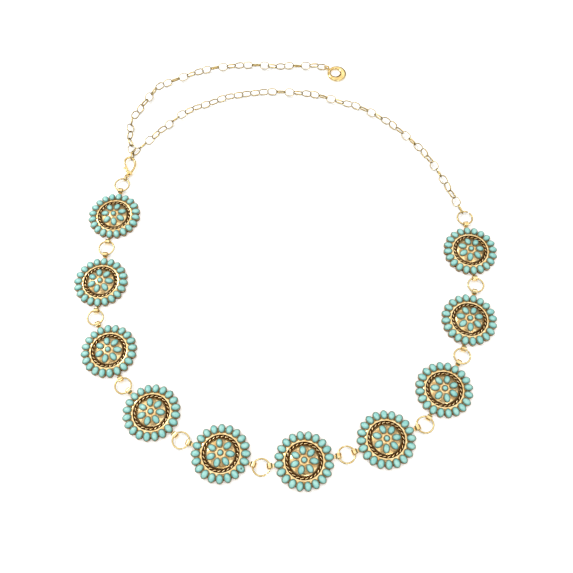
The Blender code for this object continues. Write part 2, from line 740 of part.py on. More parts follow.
def build_end_ring(eye, parts):
    """Make the flat end ring with its hole off centre and its upright eye."""
    name = "end_ring"
    low = END_RING_THICKNESS * END_EDGE_SHARE
    high = END_RING_THICKNESS - low
    edge = END_RING_RADIUS - low
    profile = [(0, 0), (edge, 0), (END_RING_RADIUS, low), (END_RING_RADIUS, high),
               (edge, END_RING_THICKNESS), (0, END_RING_THICKNESS)]
    ring = turn_profile(profile, END_RING_SIDES, name)
    reach = END_RING_RADIUS + END_EYE_RADIUS + END_EYE_STAND_OFF
    spot = eye.ahead(reach, END_RING_HEADING)
    middle = Matrix.Translation((spot.x, spot.y, 0.0)) @ Matrix.Rotation(END_RING_HEADING, 4, "Z")
    move_mesh(ring, middle)
    hole = cylinder(END_HOLE_RADIUS, -END_RING_THICKNESS, 2 * END_RING_THICKNESS, END_HOLE_SIDES, "hole")
    off_corner = Matrix.Rotation(pi / DOME_SIDES / 2, 4, "Z")
    move_mesh(hole, middle @ Matrix.Translation((-END_HOLE_OFFSET, 0, 0)) @ off_corner)
    upright = torus(eye.radius, eye.wire, eye.sides, EYE_WIRE_SIDES, "eye")
    move_mesh(upright, eye.place())
    neck = box(END_NECK_SIZE, (-END_RING_RADIUS, 0, END_RING_THICKNESS / 2), "neck")
    move_mesh(neck, middle)
    combine(ring, [hole], "DIFFERENCE")
    combine(ring, [upright, neck], "UNION")
    finish(ring, parts, name, gold(name))


def build_belt():
    """Make the whole belt, from the clasp round the conchos and back along the chain."""
    clear_scene()
    parts = make_collection(BELT_NAME)
    make_collection(BELT_NAME + "_cutters").hide_render = True

    rings = [Loop((*FIRST_RING, RING_LEVEL), 0.0, 0.0, JUMP_RING_RADIUS, JUMP_WIRE, SMOOTH_SIDES)]
    for number, degrees in enumerate(CONCHO_HEADINGS, start=1):
        heading = radians(degrees)
        centre = rings[-1].ahead(CONCHO_STEP / 2, heading)
        build_concho(number, (centre.x, centre.y, 0.0), heading, parts)
        spot = rings[-1].ahead(CONCHO_STEP, heading)
        rings.append(Loop(spot, 0.0, 0.0, JUMP_RING_RADIUS, JUMP_WIRE, SMOOTH_SIDES))
    for number, (ring, degrees) in enumerate(zip(rings, RING_SPLIT_ANGLES)):
        split = WIDE_RING_SPLIT if number in WIDE_SPLIT_RINGS else RING_SPLIT
        build_jump_ring(number + 1, ring, radians(degrees), split, parts)

    upright = Loop((0, 0, CLASP_RING_LEVEL), CLASP_RING_HEADING, pi / 2, CLASP_RING_RADIUS,
                   CLASP_RING_WIRE, EYE_SIDES)
    clasp_ring = hang_loop(rings[0], upright, CLASP_RING_HEADING)
    build_loops("clasp_ring", [clasp_ring], parts)
    flat_eye = Loop((0, 0, CLASP_LEVEL), CLASP_RING_HEADING, 0.0, EYE_RADIUS, CLASP_RING_WIRE, EYE_SIDES)
    eye = hang_loop(clasp_ring, flat_eye, CLASP_RING_HEADING)
    hinge = clasp_point(eye.centre, -HINGE_EYE[0], -HINGE_EYE[1])
    build_clasp_body(hinge, eye, parts)
    build_clasp_lever(hinge, parts)

    hook_link = hook_link_on(hinge)
    build_loops("hook_link", [hook_link], parts)
    lifts = (-BRANCH_STACK / 2, BRANCH_STACK / 2)
    main_end, tail_start = [
        hang_loop(hook_link, chain_link(hook_link.centre, CHAIN_LEVEL + lift, heading, turn), heading,
                  BRANCH_GAP)
        for heading, turn, lift in zip(BRANCH_HEADINGS, BRANCH_TURNS, lifts)
    ]
    build_chain("main_chain", close_main_chain(rings[-1], main_end), parts)
    tail = [tail_start, *lay_links(TAIL_ROUTE, tail_start, tail_turns(), TAIL_SLACK, 1)]
    build_chain("tail_chain", tail, parts)
    upright_eye = Loop((0, 0, END_EYE_LEVEL), tail[-1].heading, pi / 2, END_EYE_RADIUS, END_EYE_WIRE,
                       EYE_SIDES)
    build_end_ring(hang_loop(tail[-1], upright_eye, tail[-1].heading), parts)
    bpy.context.view_layer.update()


build_belt()
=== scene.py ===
"""Looks of an open concho belt: castings, stones, rings, chain, clasp, end ring and studio."""

import logging
from collections.abc import Callable, Iterator, Sequence
from contextlib import contextmanager
from dataclasses import dataclass, field, replace
from enum import Enum
from math import atan, atan2, cos, pi, radians, sin, sqrt, tau

import bmesh
import bpy
import numpy as np
from bpy.types import Material, Node, NodeSocket, NodeTree, Object
from mathutils import Matrix, Vector


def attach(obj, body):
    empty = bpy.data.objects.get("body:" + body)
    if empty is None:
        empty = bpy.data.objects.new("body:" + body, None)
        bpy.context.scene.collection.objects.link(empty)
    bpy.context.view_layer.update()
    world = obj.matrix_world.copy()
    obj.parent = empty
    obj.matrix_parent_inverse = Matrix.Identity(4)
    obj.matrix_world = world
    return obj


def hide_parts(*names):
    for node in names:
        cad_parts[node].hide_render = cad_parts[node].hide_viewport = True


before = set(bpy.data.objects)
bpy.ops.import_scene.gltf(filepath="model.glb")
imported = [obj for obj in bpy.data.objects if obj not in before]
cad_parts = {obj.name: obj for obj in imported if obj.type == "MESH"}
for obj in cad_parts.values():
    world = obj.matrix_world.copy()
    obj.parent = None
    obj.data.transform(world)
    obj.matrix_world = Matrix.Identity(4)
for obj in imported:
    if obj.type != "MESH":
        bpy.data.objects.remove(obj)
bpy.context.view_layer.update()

MM = 0.001
MERGE = 0.002 * MM
SMOOTH_SIDES = 96
SEARCH_STEPS = 18
ROUTE_STEPS = 4
LINK_SIDES = 8
EYE_SIDES = 12
PRESSED_FROM = 0.42
PRESSED_TO = 0.995
RUNNING_GAP = 0.3 * MM
log = logging.getLogger("concho_belt")


class Body(Enum):
    """The two rigid bodies that a piece can ride on."""

    BELT = "belt"
    LEVER = "lever"


class Slot(Enum):
    """The record's material slots."""

    PLATE = "plate_gold"
    STONE = "stone_turquoise"
    RING = "ring_gold"
    CHAIN = "chain_gold"
    CLASP = "clasp_gold"


class Pick(Enum):
    """What a selection in edit mode is made of."""

    POINTS = "VERT"
    FACES = "FACE"


def linear(colour: str) -> tuple[float, float, float, float]:
    """Turn an sRGB hex colour into linear light.

    Args:
        colour: Six hex digits, such as "e0b468".

    Returns:
        Red, green and blue from 0 to 1, and an alpha of 1.
    """
    parts = [int(colour[start:start + 2], 16) / 255 for start in (0, 2, 4)]
    light = [part / 12.92 if part <= 0.04045 else ((part + 0.055) / 1.055) ** 2.4 for part in parts]
    return (*light, 1.0)


def add_node(tree: NodeTree, kind: str, links: dict | None = None, **settings) -> Node:
    """Add a node with its settings and its links.

    Args:
        tree: The node tree that takes the node.
        kind: The node's Blender type.
        links: Input name or number, mapped to a value or to an output socket.
        **settings: The node's own properties.

    Returns:
        The new node.
    """
    node = tree.nodes.new(kind)
    for name, value in settings.items():
        setattr(node, name, value)
    connect(tree, node, links or {})
    return node


def connect(tree: NodeTree, node: Node, links: dict) -> None:
    """Set inputs of a node, given by name or number, to values or to output sockets."""
    for name, value in links.items():
        if isinstance(value, NodeSocket):
            tree.links.new(value, node.inputs[name])
        else:
            node.inputs[name].default_value = value


class Nodes:
    """The nodes of one tree, whose patterns lie in one kind of coordinates."""

    def __init__(self, tree: NodeTree, coordinates: str) -> None:
        """Work on a given tree."""
        self.tree = tree
        self.place = add_node(tree, "ShaderNodeTexCoord").outputs[coordinates]

    def noise(self, size: float, detail: float = 2.0) -> NodeSocket:
        """Return noise whose pattern repeats about every size in the coordinates."""
        links = {"Vector": self.place, "Scale": 1.0 / size, "Detail": detail}
        return add_node(self.tree, "ShaderNodeTexNoise", links).outputs["Fac"]

    def mapped(self, value: NodeSocket, *limits: float) -> NodeSocket:
        """Return a value carried from one range to another, given as from and to limits in turn."""
        names = ("From Min", "From Max", "To Min", "To Max")
        links = {"Value": value, **dict(zip(names, limits))}
        return add_node(self.tree, "ShaderNodeMapRange", links).outputs[0]

    def reckoned(self, operation: str, *values: NodeSocket | float) -> NodeSocket:
        """Return the result of a sum on some values."""
        links = dict(enumerate(values))
        return add_node(self.tree, "ShaderNodeMath", links, operation=operation).outputs[0]


class MaterialNodes(Nodes):
    """The nodes of one material, whose patterns lie in the piece's own coordinates."""

    def __init__(self, name: str) -> None:
        """Start a material with a given name."""
        self.material = bpy.data.materials.new(name)
        self.material.use_nodes = True
        super().__init__(self.material.node_tree, "Object")
        self.shader = self.tree.nodes["Principled BSDF"]

    def mixed(self, share: NodeSocket, first: NodeSocket | str, second: str) -> NodeSocket:
        """Return a colour that goes from the first to the second, which is an sRGB hex colour."""
        start = linear(first) if isinstance(first, str) else first
        links = {"Factor": share, 6: start, 7: linear(second)}
        return add_node(self.tree, "ShaderNodeMix", links, data_type="RGBA").outputs[2]

    def marked(self, attribute: str) -> NodeSocket:
        """Return the number that the mesh holds at each point."""
        return add_node(self.tree, "ShaderNodeAttribute", attribute_name=attribute).outputs["Fac"]

    def finish(self, height: NodeSocket, bump: tuple[float, float], links: dict) -> Material:
        """Set the shader's inputs and its bump, and return the material.

        Args:
            height: The bump's pattern.
            bump: The bump's strength, and its depth in millimetres.
            links: The shader's inputs, mapped to values or to output sockets.

        Returns:
            The finished material.
        """
        raised = {"Height": height, "Strength": bump[0], "Distance": bump[1] * MM}
        normal = add_node(self.tree, "ShaderNodeBump", raised).outputs["Normal"]
        connect(self.tree, self.shader, {"Normal": normal, **links})
        return self.material


@dataclass(frozen=True)
class GoldPlating:
    """Gold plating on a zinc casting or a brass wire, with brown antiquing and painted shade laid on it.

    Attributes:
        name: The material's name.
        bright: Colour of the gold where no brown is laid.
        warm: Colour of the slightly worn or thinner plating.
        antique_and_shade_brown: Colour of the brown: antiquing in the castings' channel, and painted
            shade.
        roughness: Roughness of the polished plating.
        cloud_mm: Size of the faint clouds in the plating.
        grain_mm: Size of the cast or drawn grain in the surface.
        grain_height_mm: How deep that grain is.
        brown_roughness: Roughness where the brown lies.
        clouds: Noise at which the warm clouds start and at which they are full.
        wear: How much the brown's edge is broken up.
        brown_limits: Value of the mark of antiquing and painted shade at which the brown starts and at
            which it covers the gold.
        grain_strength: How strongly the grain shows.
    """

    name: str
    bright: str = "f6dfae"
    warm: str = "e0b978"
    antique_and_shade_brown: str = "5e3a14"
    roughness: float = 0.2
    cloud_mm: float = 2.6
    grain_mm: float = 0.45
    grain_height_mm: float = 0.012
    brown_roughness: float = 0.55
    clouds: tuple[float, float] = (0.35, 0.68)
    wear: float = 0.5
    brown_limits: tuple[float, float] = (0.2, 0.8)
    grain_strength: float = 0.5

    def material(self) -> Material:
        """Return the plating as a material that browns the piece by its mark of antiquing and painted
        shade.
        """
        nodes = MaterialNodes(self.name)
        cloud = nodes.mapped(nodes.noise(self.cloud_mm * MM, 3.0), *self.clouds)
        gold = nodes.mixed(cloud, self.bright, self.warm)
        rough = nodes.noise(self.grain_mm * 2 * MM)
        worn = nodes.reckoned("MULTIPLY_ADD", rough, self.wear, -self.wear / 2)
        # Brown laid by the mesh's mark: painted shade, and antiquing in the castings' channel
        brown_mask = nodes.reckoned("ADD", nodes.marked("antique_and_shade"), worn)
        brown_share = nodes.mapped(brown_mask, *self.brown_limits)
        bump = (self.grain_strength, self.grain_height_mm)
        return nodes.finish(nodes.noise(self.grain_mm * MM, 4.0), bump, {
            "Base Color": nodes.mixed(brown_share, gold, self.antique_and_shade_brown),
            "Roughness": nodes.mapped(brown_share, 0.0, 1.0, self.roughness, self.brown_roughness),
            "Metallic": 1.0,
        })


@dataclass(frozen=True)
class TurquoiseResin:
    """Cast resin cabochon dyed turquoise: smooth and milky, with deep green painted shade where it dips
    into its rim.

    Attributes:
        name: The material's name.
        pale: Colour of the crown.
        blue: Colour of the slightly bluer clouds.
        edge: Deep green at the foot, where the glue and the rim's shade meet the stone.
        pit: Colour of a chipped pit.
        cloud_mm: Size of the clouds.
        speck_mm: Size of the faint specks.
        speck_height_mm: How deep they are.
        roughness: Roughness between the specks and on them.
        refraction: How strongly the resin bends light.
        clouds: Noise at which the bluer clouds start and at which they are full.
        specks: Noise at which the green specks start, and at which they are full.
        speck_share: How green they are.
        speck_strength: How strongly their depth shows.
    """

    name: str
    pale: str = "a9ded6"
    blue: str = "86cfcd"
    edge: str = "245c4c"
    pit: str = "24403c"
    cloud_mm: float = 2.2
    speck_mm: float = 0.5
    speck_height_mm: float = 0.01
    roughness: tuple[float, float] = (0.22, 0.42)
    refraction: float = 1.55
    clouds: tuple[float, float] = (0.38, 0.64)
    specks: tuple[float, float] = (0.62, 0.75)
    speck_share: float = 0.3
    speck_strength: float = 0.4

    def material(self) -> Material:
        """Return the resin as a material that reads the stones' foot mark of painted shade and their pit
        attribute.
        """
        nodes = MaterialNodes(self.name)
        cloud = nodes.mapped(nodes.noise(self.cloud_mm * MM), *self.clouds)
        specks = nodes.noise(self.speck_mm * MM, 3.0)
        body = nodes.mixed(cloud, self.pale, self.blue)
        dots = nodes.mapped(specks, *self.specks, 0.0, self.speck_share)
        dotted = nodes.mixed(dots, body, self.edge)
        # Deep green painted shade towards the stone's foot
        foot_shaded = nodes.mixed(nodes.marked("foot"), dotted, self.edge)
        return nodes.finish(specks, (self.speck_strength, self.speck_height_mm), {
            "Base Color": nodes.mixed(nodes.marked("pit"), foot_shaded, self.pit),
            "Roughness": nodes.mapped(specks, 0.0, 1.0, *self.roughness),
            "IOR": self.refraction,
        })


@dataclass(frozen=True)
class MattPaper:
    """Pale matt paper sweep under the belt, with a barely visible tooth.

    Attributes:
        name: The material's name.
        white: Colour of the paper.
        glow: Light that the paper gives off, as if lit through.
        roughness: Roughness of the paper.
        sheen: How strongly it mirrors.
        tooth_mm: Size of the tooth.
        tooth_height_mm: How deep the tooth is.
    """

    name: str = "matt_paper_sweep"
    white: str = "fbfbfa"
    glow: float = 0.25
    roughness: float = 0.9
    sheen: float = 0.1
    tooth_mm: float = 1.5
    tooth_height_mm: float = 0.01

    def material(self) -> Material:
        """Return the paper as a material."""
        nodes = MaterialNodes(self.name)
        return nodes.finish(nodes.noise(self.tooth_mm * MM), (1.0, self.tooth_height_mm), {
            "Base Color": linear(self.white), "Roughness": self.roughness,
            "Specular IOR Level": self.sheen, "Emission Color": linear(self.white),
            "Emission Strength": self.glow,
        })


def deselect() -> None:
    """Leave edit mode and select nothing."""
    if bpy.context.mode != "OBJECT":
        bpy.ops.object.mode_set(mode="OBJECT")
    bpy.ops.object.select_all(action="DESELECT")


def added(add: Callable, name: str, **sizes) -> Object:
    """Add one basic mesh, with its place and turn set in the mesh, and name it."""
    deselect()
    add(**sizes)
    return set_in_mesh(named(bpy.context.object, name))


def take_up(item: Object) -> None:
    """Select one object alone and make it active."""
    deselect()
    item.select_set(True)
    bpy.context.view_layer.objects.active = item


@contextmanager
def editing(item: Object) -> Iterator[None]:
    """Hold one object in edit mode, with all of it selected at the start."""
    take_up(item)
    bpy.ops.object.mode_set(mode="EDIT")
    bpy.ops.mesh.select_mode(type=Pick.POINTS.value)
    bpy.ops.mesh.select_all(action="SELECT")
    yield
    bpy.ops.object.mode_set(mode="OBJECT")


def choose(item: Object, pick: Pick, test: Callable[[Vector], bool]) -> None:
    """Select only the elements in edit mode whose middle passes a test.

    Args:
        item: The object in edit mode.
        pick: Which kind of element to select.
        test: Takes the middle of an element and says whether it is wanted.
    """
    bpy.ops.mesh.select_all(action="DESELECT")
    bpy.ops.mesh.select_mode(type=pick.value)
    mesh = bmesh.from_edit_mesh(item.data)
    for element in mesh.verts if pick is Pick.POINTS else mesh.faces:
        if test(element.co if pick is Pick.POINTS else element.calc_center_median()):
            element.select_set(True)
    mesh.select_flush_mode()
    bmesh.update_edit_mesh(item.data)


def named(item: Object, name: str) -> Object:
    """Give an object and its mesh a name."""
    item.name = name
    item.data.name = name
    return item


def set_in_mesh(item: Object) -> Object:
    """Move an object's place, turn and scale into its mesh."""
    take_up(item)
    bpy.ops.object.transform_apply(location=True, rotation=True, scale=True)
    return item


def apply_all(item: Object) -> Object:
    """Apply every modifier of an object."""
    take_up(item)
    for step in list(item.modifiers):
        bpy.ops.object.modifier_apply(modifier=step.name)
    return item


def smooth(item: Object, angle: float) -> Object:
    """Shade an object smooth, but for edges sharper than an angle in degrees."""
    take_up(item)
    bpy.ops.object.shade_smooth_by_angle(angle=radians(angle))
    return item


def turned(name: str, profile: Sequence[tuple[float, float]], steps: int) -> Object:
    """Turn a profile about Z, as on a lathe.

    Args:
        name: Name of the piece.
        profile: Radius and height of each point, in millimetres. Its ends meet, or lie on the axis.
        steps: How many steps the full turn takes.

    Returns:
        The closed turned piece.
    """
    item = added(bpy.ops.mesh.primitive_plane_add, name, size=MM)
    points = [Vector((radius, 0.0, height)) * MM for radius, height in profile]
    with editing(item):
        bpy.ops.mesh.merge(type="CENTER")
        bpy.ops.transform.translate(value=points[0])
        for before, after in zip(points, points[1:]):
            bpy.ops.mesh.extrude_vertices_move(TRANSFORM_OT_translate={"value": after - before})
        bpy.ops.mesh.select_all(action="SELECT")
        bpy.ops.mesh.remove_doubles(threshold=MERGE)
        bpy.ops.mesh.spin(steps=steps, angle=tau, center=(0, 0, 0), axis=(0, 0, 1), use_auto_merge=True)
        tidy_shell()
    return item


def tidy_shell() -> None:
    """Merge doubles and turn the faces of the mesh in hand outwards."""
    bpy.ops.mesh.select_all(action="SELECT")
    bpy.ops.mesh.remove_doubles(threshold=MERGE)
    bpy.ops.mesh.normals_make_consistent(inside=False)


def copied(item: Object, name: str, place: Matrix) -> Object:
    """Return a copy of an object with a mesh of its own, moved by a matrix."""
    twin = bpy.data.objects.new(name, item.data.copy())
    twin.data.name = name
    twin.data.transform(place)
    bpy.context.scene.collection.objects.link(twin)
    return twin


def joined(items: Sequence[Object], name: str) -> Object:
    """Join objects into the first one."""
    take_up(items[0])
    for item in items[1:]:
        item.select_set(True)
    bpy.ops.object.join()
    return named(bpy.context.object, name)


def discard(*items: Object) -> None:
    """Remove objects that have served their turn."""
    for item in items:
        bpy.data.objects.remove(item, do_unlink=True)


def united(item: Object, others: Sequence[Object], operation: str = "UNION") -> Object:
    """Weld other closed pieces to an object as one casting, or cut them out of it."""
    for other in others:
        step = item.modifiers.new("weld", "BOOLEAN")
        step.operation = operation
        step.object = other
    apply_all(item)
    discard(*others)
    return item


def rounded_bar(size: tuple[float, float, float], centre: tuple[float, float, float],
                rounding: float) -> Object:
    """Return a bar along the axes with rounded edges.

    Args:
        size: Length, width and height, in millimetres.
        centre: Its middle, in millimetres.
        rounding: Radius of its edges, in millimetres.

    Returns:
        The bar.
    """
    middle = [part * MM for part in centre]
    item = added(bpy.ops.mesh.primitive_cube_add, "bar", size=MM, location=middle, scale=size)
    with editing(item):
        bpy.ops.mesh.bevel(offset=rounding * MM, segments=3, affect="EDGES")
    return item


def about_z(angle: float) -> Matrix:
    """Return the matrix that turns a piece about Z."""
    return Matrix.Rotation(angle, 4, "Z")


def around(item: Object, count: int, name: str) -> Object:
    """Copy an object evenly round Z and join the copies, using up the first."""
    turns = [about_z(number * tau / count) for number in range(1, count)]
    copies = [copied(item, name, turn) for turn in turns]
    return joined([item, *copies], name)


def mark(item: Object, attribute: str, rule: Callable[[Vector, Vector], float]) -> Object:
    """Store a number from 0 to 1 at each point of a mesh.

    Args:
        item: The object whose mesh is marked.
        attribute: The attribute's name.
        rule: Takes a point's place and normal and returns its number.

    Returns:
        The same object.
    """
    data = item.data
    layer = data.attributes.get(attribute) or data.attributes.new(attribute, "FLOAT", "POINT")
    values = [min(1.0, max(0.0, rule(vert.co, vert.normal))) for vert in data.vertices]
    layer.data.foreach_set("value", values)
    return item


def dress(item: Object, material: Material) -> Object:
    """Give an object one material."""
    item.data.materials.clear()
    item.data.materials.append(material)
    return item


def hand_over(item: Object, body: Body, slot: Slot, *nodes: str) -> None:
    """Tie a finished piece to its body, hide the nodes that it stands for, and log it."""
    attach(item, body.value)
    if nodes:
        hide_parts(*nodes)
    log.info("%s rides on %s and stands for %s", item.name, body.value, ", ".join(nodes) or "nothing")


def ramp(value: float, low: float, high: float) -> float:
    """Return how far a value lies from low to high, kept between 0 and 1."""
    return min(1.0, max(0.0, (value - low) / (high - low)))


@dataclass(frozen=True)
class Shade:
    """Painted shade, brown on gold and deep green on stone, at a point, by a measure of where it lies.

    Attributes:
        depth: How much the ramp adds where it is full.
        low: Measure at which the ramp starts.
        high: Measure at which it is full.
        base: How much is laid everywhere.
    """

    depth: float
    low: float
    high: float
    base: float = 0.0

    def at(self, measure: float) -> float:
        """Return the shade at a measure."""
        return self.base + self.depth * ramp(measure, self.low, self.high)


# Painted shade on sides and undersides, by how far the surface faces down
WIRE_SHADE = Shade(0.85, -0.8, 0.05)
LINK_SHADE = Shade(0.66, -0.85, 0.05, 0.12)
ROPE_SHADE = Shade(0.95, -0.95, -0.7)
# Painted shade lower down, by millimetres down from the rim's level, a height on the clasp, the lever's
# top and the floor
RIM_SHADE = Shade(0.35, 0.0, 0.4, 0.55)
CLASP_SHADE = Shade(0.5, 0.0, 0.6)
LEVER_SHADE = Shade(0.4, 0.5, 1.0)
END_RING_SHADE = Shade(0.3, -0.5, -0.1)
# Painted shade on the bed between the rims and on the stems under them, by millimetres out from the land,
# and in from the eyelet's middle
BED_SHADE = Shade(0.85, 0.1, 0.8)
STEM_SHADE = Shade(1.0, 1.9, 2.7)
# Painted shade on a ring's inner side, by wires in from the middle line, and at a stone's foot, by crowns
# down from the rim's level
RING_INSIDE_SHADE = Shade(0.6, 0.2, 0.5)
STONE_FOOT_SHADE = Shade(0.95, -0.88, -0.28)
# Painted shade on the dome at the foot of a petal's rim
DOME_SHADE = 0.5


def shade_down(item: Object, shade: Shade) -> Object:
    """Paint shade in brown on an object by how far its surface faces down."""
    return mark(item, "antique_and_shade", lambda place, normal: shade.at(-normal.z))


@dataclass
class Cabochon:
    """An oval or round stone and the thin wall that holds it, both about Z.

    Attributes:
        length: Length of the stone along X, in millimetres.
        width: Width of the stone.
        crown: Height of the crown over the rim.
        rim_length: Outer length of the rim.
        rim_width: Outer width of the rim.
        rim_wall: Thickness of the rim.
        rim_height: Height of the rim over the level it starts from.
        cup_depth: How far the seat lies under the rim.
        sides: Points round the oval.
        lip: Width and height of the bevel on top of the rim.
        play: Gap between the stone's back and the floor of its cup.
    """

    length: float
    width: float
    crown: float
    rim_length: float
    rim_width: float
    rim_height: float
    rim_wall: float = 0.3
    cup_depth: float = 0.4
    sides: int = 28
    lip: float = 0.1
    play: float = 0.05

    def stone(self, name: str) -> Object:
        """Return the stone: a steep dome with a flat back, its rim's level at Z 0."""
        item = added(bpy.ops.mesh.primitive_uv_sphere_add, name, segments=self.sides,
                     ring_count=self.sides // 2, radius=MM)
        depth = self.cup_depth - self.play
        with editing(item):
            bpy.ops.transform.resize(value=(self.length / 2, self.width / 2, self.crown))
            bpy.ops.mesh.bisect(plane_co=(0, 0, -depth * MM / 2), plane_no=(0, 0, 1), use_fill=True,
                                clear_inner=True, threshold=MERGE)
            choose(item, Pick.FACES, lambda middle: middle.z < -depth * MM / 2 + MERGE)
            bpy.ops.mesh.extrude_region_move(TRANSFORM_OT_translate={"value": (0, 0, -depth * MM / 2)})
            tidy_shell()
        # Painted shade: the stone turns deep green towards its foot, down in the rim
        mark(item, "foot", lambda place, normal: STONE_FOOT_SHADE.at(-place.z / (self.crown * MM)))
        return smooth(item, 50)

    def rim(self, name: str) -> Object:
        """Return the wall with its cup, from the rim's level at Z 0 down to its foot."""
        item = added(bpy.ops.mesh.primitive_cylinder_add, name, vertices=self.sides, radius=MM,
                     depth=self.rim_height * MM, location=(0, 0, -self.rim_height * MM / 2))
        with editing(item):
            bpy.ops.transform.resize(value=(self.rim_length / 2, self.rim_width / 2, 1))
            choose(item, Pick.FACES, lambda middle: middle.z > -MERGE)
            bpy.ops.mesh.inset(thickness=self.lip * MM)
            bpy.ops.transform.translate(value=(0, 0, self.lip * MM))
            bpy.ops.mesh.inset(thickness=(self.rim_wall - self.lip) * MM)
            down = (0, 0, -self.cup_depth * MM)
            bpy.ops.mesh.extrude_region_move(TRANSFORM_OT_translate={"value": down})
            tidy_shell()
        # Painted shade and painted reflection of the stones: the rim is browned, more so further down its
        # wall
        mark(item, "antique_and_shade", lambda place, normal: RIM_SHADE.at(-place.z / MM))
        return smooth(item, 60)


def seat(place: float, level: float, slope: float) -> Matrix:
    """Return the place of a rim out along X and up, in millimetres, tipped down outwards."""
    return Matrix.Translation((place * MM, 0, level * MM)) @ Matrix.Rotation(slope, 4, "Y")


@dataclass
class Concho:
    """One round casting set with an outer row of ovals and a flower, modelled once about Z.

    Attributes hold its sizes in millimetres, as cast, and its counts, shares and turns.
    """

    radius: float = 20.27
    edge: float = 1.4
    bed_rise: float = 1.0
    bed_radius: float = 13.7
    valley_radius: float = 17.7
    land_top: float = 3.0
    land_outer: float = 14.2
    land_crown: tuple[tuple[float, float], ...] = ((13.6, 0.05), (13.2, 0.0), (12.75, 0.1))
    channel_outer: float = 12.55
    channel_floor: float = 1.5
    dome_radius: float = 10.3
    dome_edge: float = 3.2
    dome_rise: float = 2.0
    dome_rings: int = 9
    turn_steps: int = 120
    outer_count: int = 20
    outer_place: float = 16.8
    petal_count: int = 7
    petal_place: float = 6.65
    petal_shadow: tuple[float, float] = (1.05, 1.3)
    outer_rise: float = 0.9
    petal_rise: float = 0.45
    button_rise: float = 0.5
    rope_place: float = 11.55
    rope_rise: float = 0.55
    rope_beads: int = 24
    rope_bead: tuple[float, float, float] = (1.6, 0.5, 0.6)
    rope_slant: float = radians(24)
    eyelet_place: float = 23.13
    eyelet_hole: float = 1.2
    eyelet_outer: float = 2.1
    eyelet_width: float = 3.6
    eyelet_rounding: float = 0.25
    stem_sunk: float = 0.5
    stem_short: float = 0.35
    stem_rounding: float = 0.2
    stem_section: tuple[float, float] = (2.4, 0.9)
    stem_level: float = 0.95
    foot_share: float = 0.6
    foot_level: float = 0.15
    flower_turn: float = radians(13)
    outer: Cabochon = field(default_factory=lambda: Cabochon(6.3, 4.6, 1.35, 6.8, 5.1, 2.5, 0.22))
    petal: Cabochon = field(default_factory=lambda: Cabochon(6.1, 4.2, 1.1, 6.6, 4.7, 0.9, 0.22))
    button: Cabochon = field(default_factory=lambda: Cabochon(3.6, 3.6, 1.0, 4.8, 4.8, 0.9, 0.4, 0.4, 24))

    def dome_height(self, radius: float) -> float:
        """Return the height of the middle dome at a radius."""
        return self.dome_edge + self.dome_rise * (1 - (radius / self.dome_radius) ** 2)

    def bed_slope(self) -> float:
        """Return how steeply the outer bed falls outwards."""
        return atan(self.bed_rise / (self.radius - self.bed_radius))

    def outer_seat(self) -> Matrix:
        """Return the place of the first outer stone's rim, tipped down outwards."""
        share = (self.radius - self.outer_place) / (self.radius - self.bed_radius)
        level = self.edge + self.bed_rise * share + self.outer_rise
        return seat(self.outer_place, level, self.bed_slope())

    def petal_seat(self) -> Matrix:
        """Return the place of the first petal's rim, tipped with the dome."""
        slope = atan(2 * self.dome_rise * self.petal_place / self.dome_radius ** 2)
        return seat(self.petal_place, self.dome_height(self.petal_place) + self.petal_rise, slope)

    def button_seat(self) -> Matrix:
        """Return the place of the round middle stone's rim."""
        return seat(0, self.dome_height(0) + self.button_rise, 0)

    def plate(self) -> Object:
        """Return the turned body of the casting: bed, land, channel and dome."""
        radii = [self.dome_radius * (1 - step / self.dome_rings) for step in range(1, self.dome_rings)]
        profile = [(0, 0), (self.valley_radius - 0.2, 0), (self.valley_radius, 0.2),
                   (self.valley_radius, self.edge - 0.1), (self.valley_radius - 0.2, self.edge),
                   (self.land_outer + 1.0, self.edge + 0.75), (self.land_outer, self.land_top - 0.35),
                   *((radius, self.land_top - drop) for radius, drop in self.land_crown),
                   (self.channel_outer, self.land_top - 0.4),
                   (self.channel_outer - 0.05, self.channel_floor + 0.3),
                   (self.channel_outer - 0.4, self.channel_floor),
                   (self.dome_radius + 0.35, self.channel_floor),
                   (self.dome_radius, self.channel_floor + 0.3),
                   (self.dome_radius, self.dome_edge - 0.3),
                   (self.dome_radius - 0.15, self.dome_edge - 0.02)]
        profile += [(radius, self.dome_height(radius)) for radius in radii]
        profile.append((0, self.dome_height(0)))
        item = turned("plate_body", profile, self.turn_steps)
        mark(item, "antique_and_shade", self.plate_shade)
        return smooth(item, 40)

    def plate_shade(self, place: Vector, normal: Vector) -> float:
        """Return how much brown is laid on the turned body at a point: antiquing and painted shade in the
        channel, painted shade on the bed and round the petals' feet.
        """
        reach = place.xy.length / MM
        # The channel: antiquing and painted shade in the groove
        if self.dome_radius + 0.02 < reach < self.channel_outer + 0.02:
            return 1.0
        # The bed between the outer rims: painted shade
        if reach > self.land_outer:
            return BED_SHADE.at(reach - self.land_outer)
        # The dome round the petals' feet: painted shade
        if reach < self.dome_radius:
            return DOME_SHADE * self.petal_nearness(place)
        return 0.0

    def petal_nearness(self, place: Vector) -> float:
        """Return how near a point of the dome is to the foot of a petal's rim, from 0 to 1."""
        sector = tau / self.petal_count
        turn = (atan2(place.y, place.x) + sector / 2) % sector - sector / 2
        reach = place.xy.length / MM
        along = (reach * cos(turn) - self.petal_place) / (self.petal.rim_length / 2)
        across = reach * sin(turn) / (self.petal.rim_width / 2)
        return 1.0 - ramp(sqrt(along ** 2 + across ** 2), *self.petal_shadow)

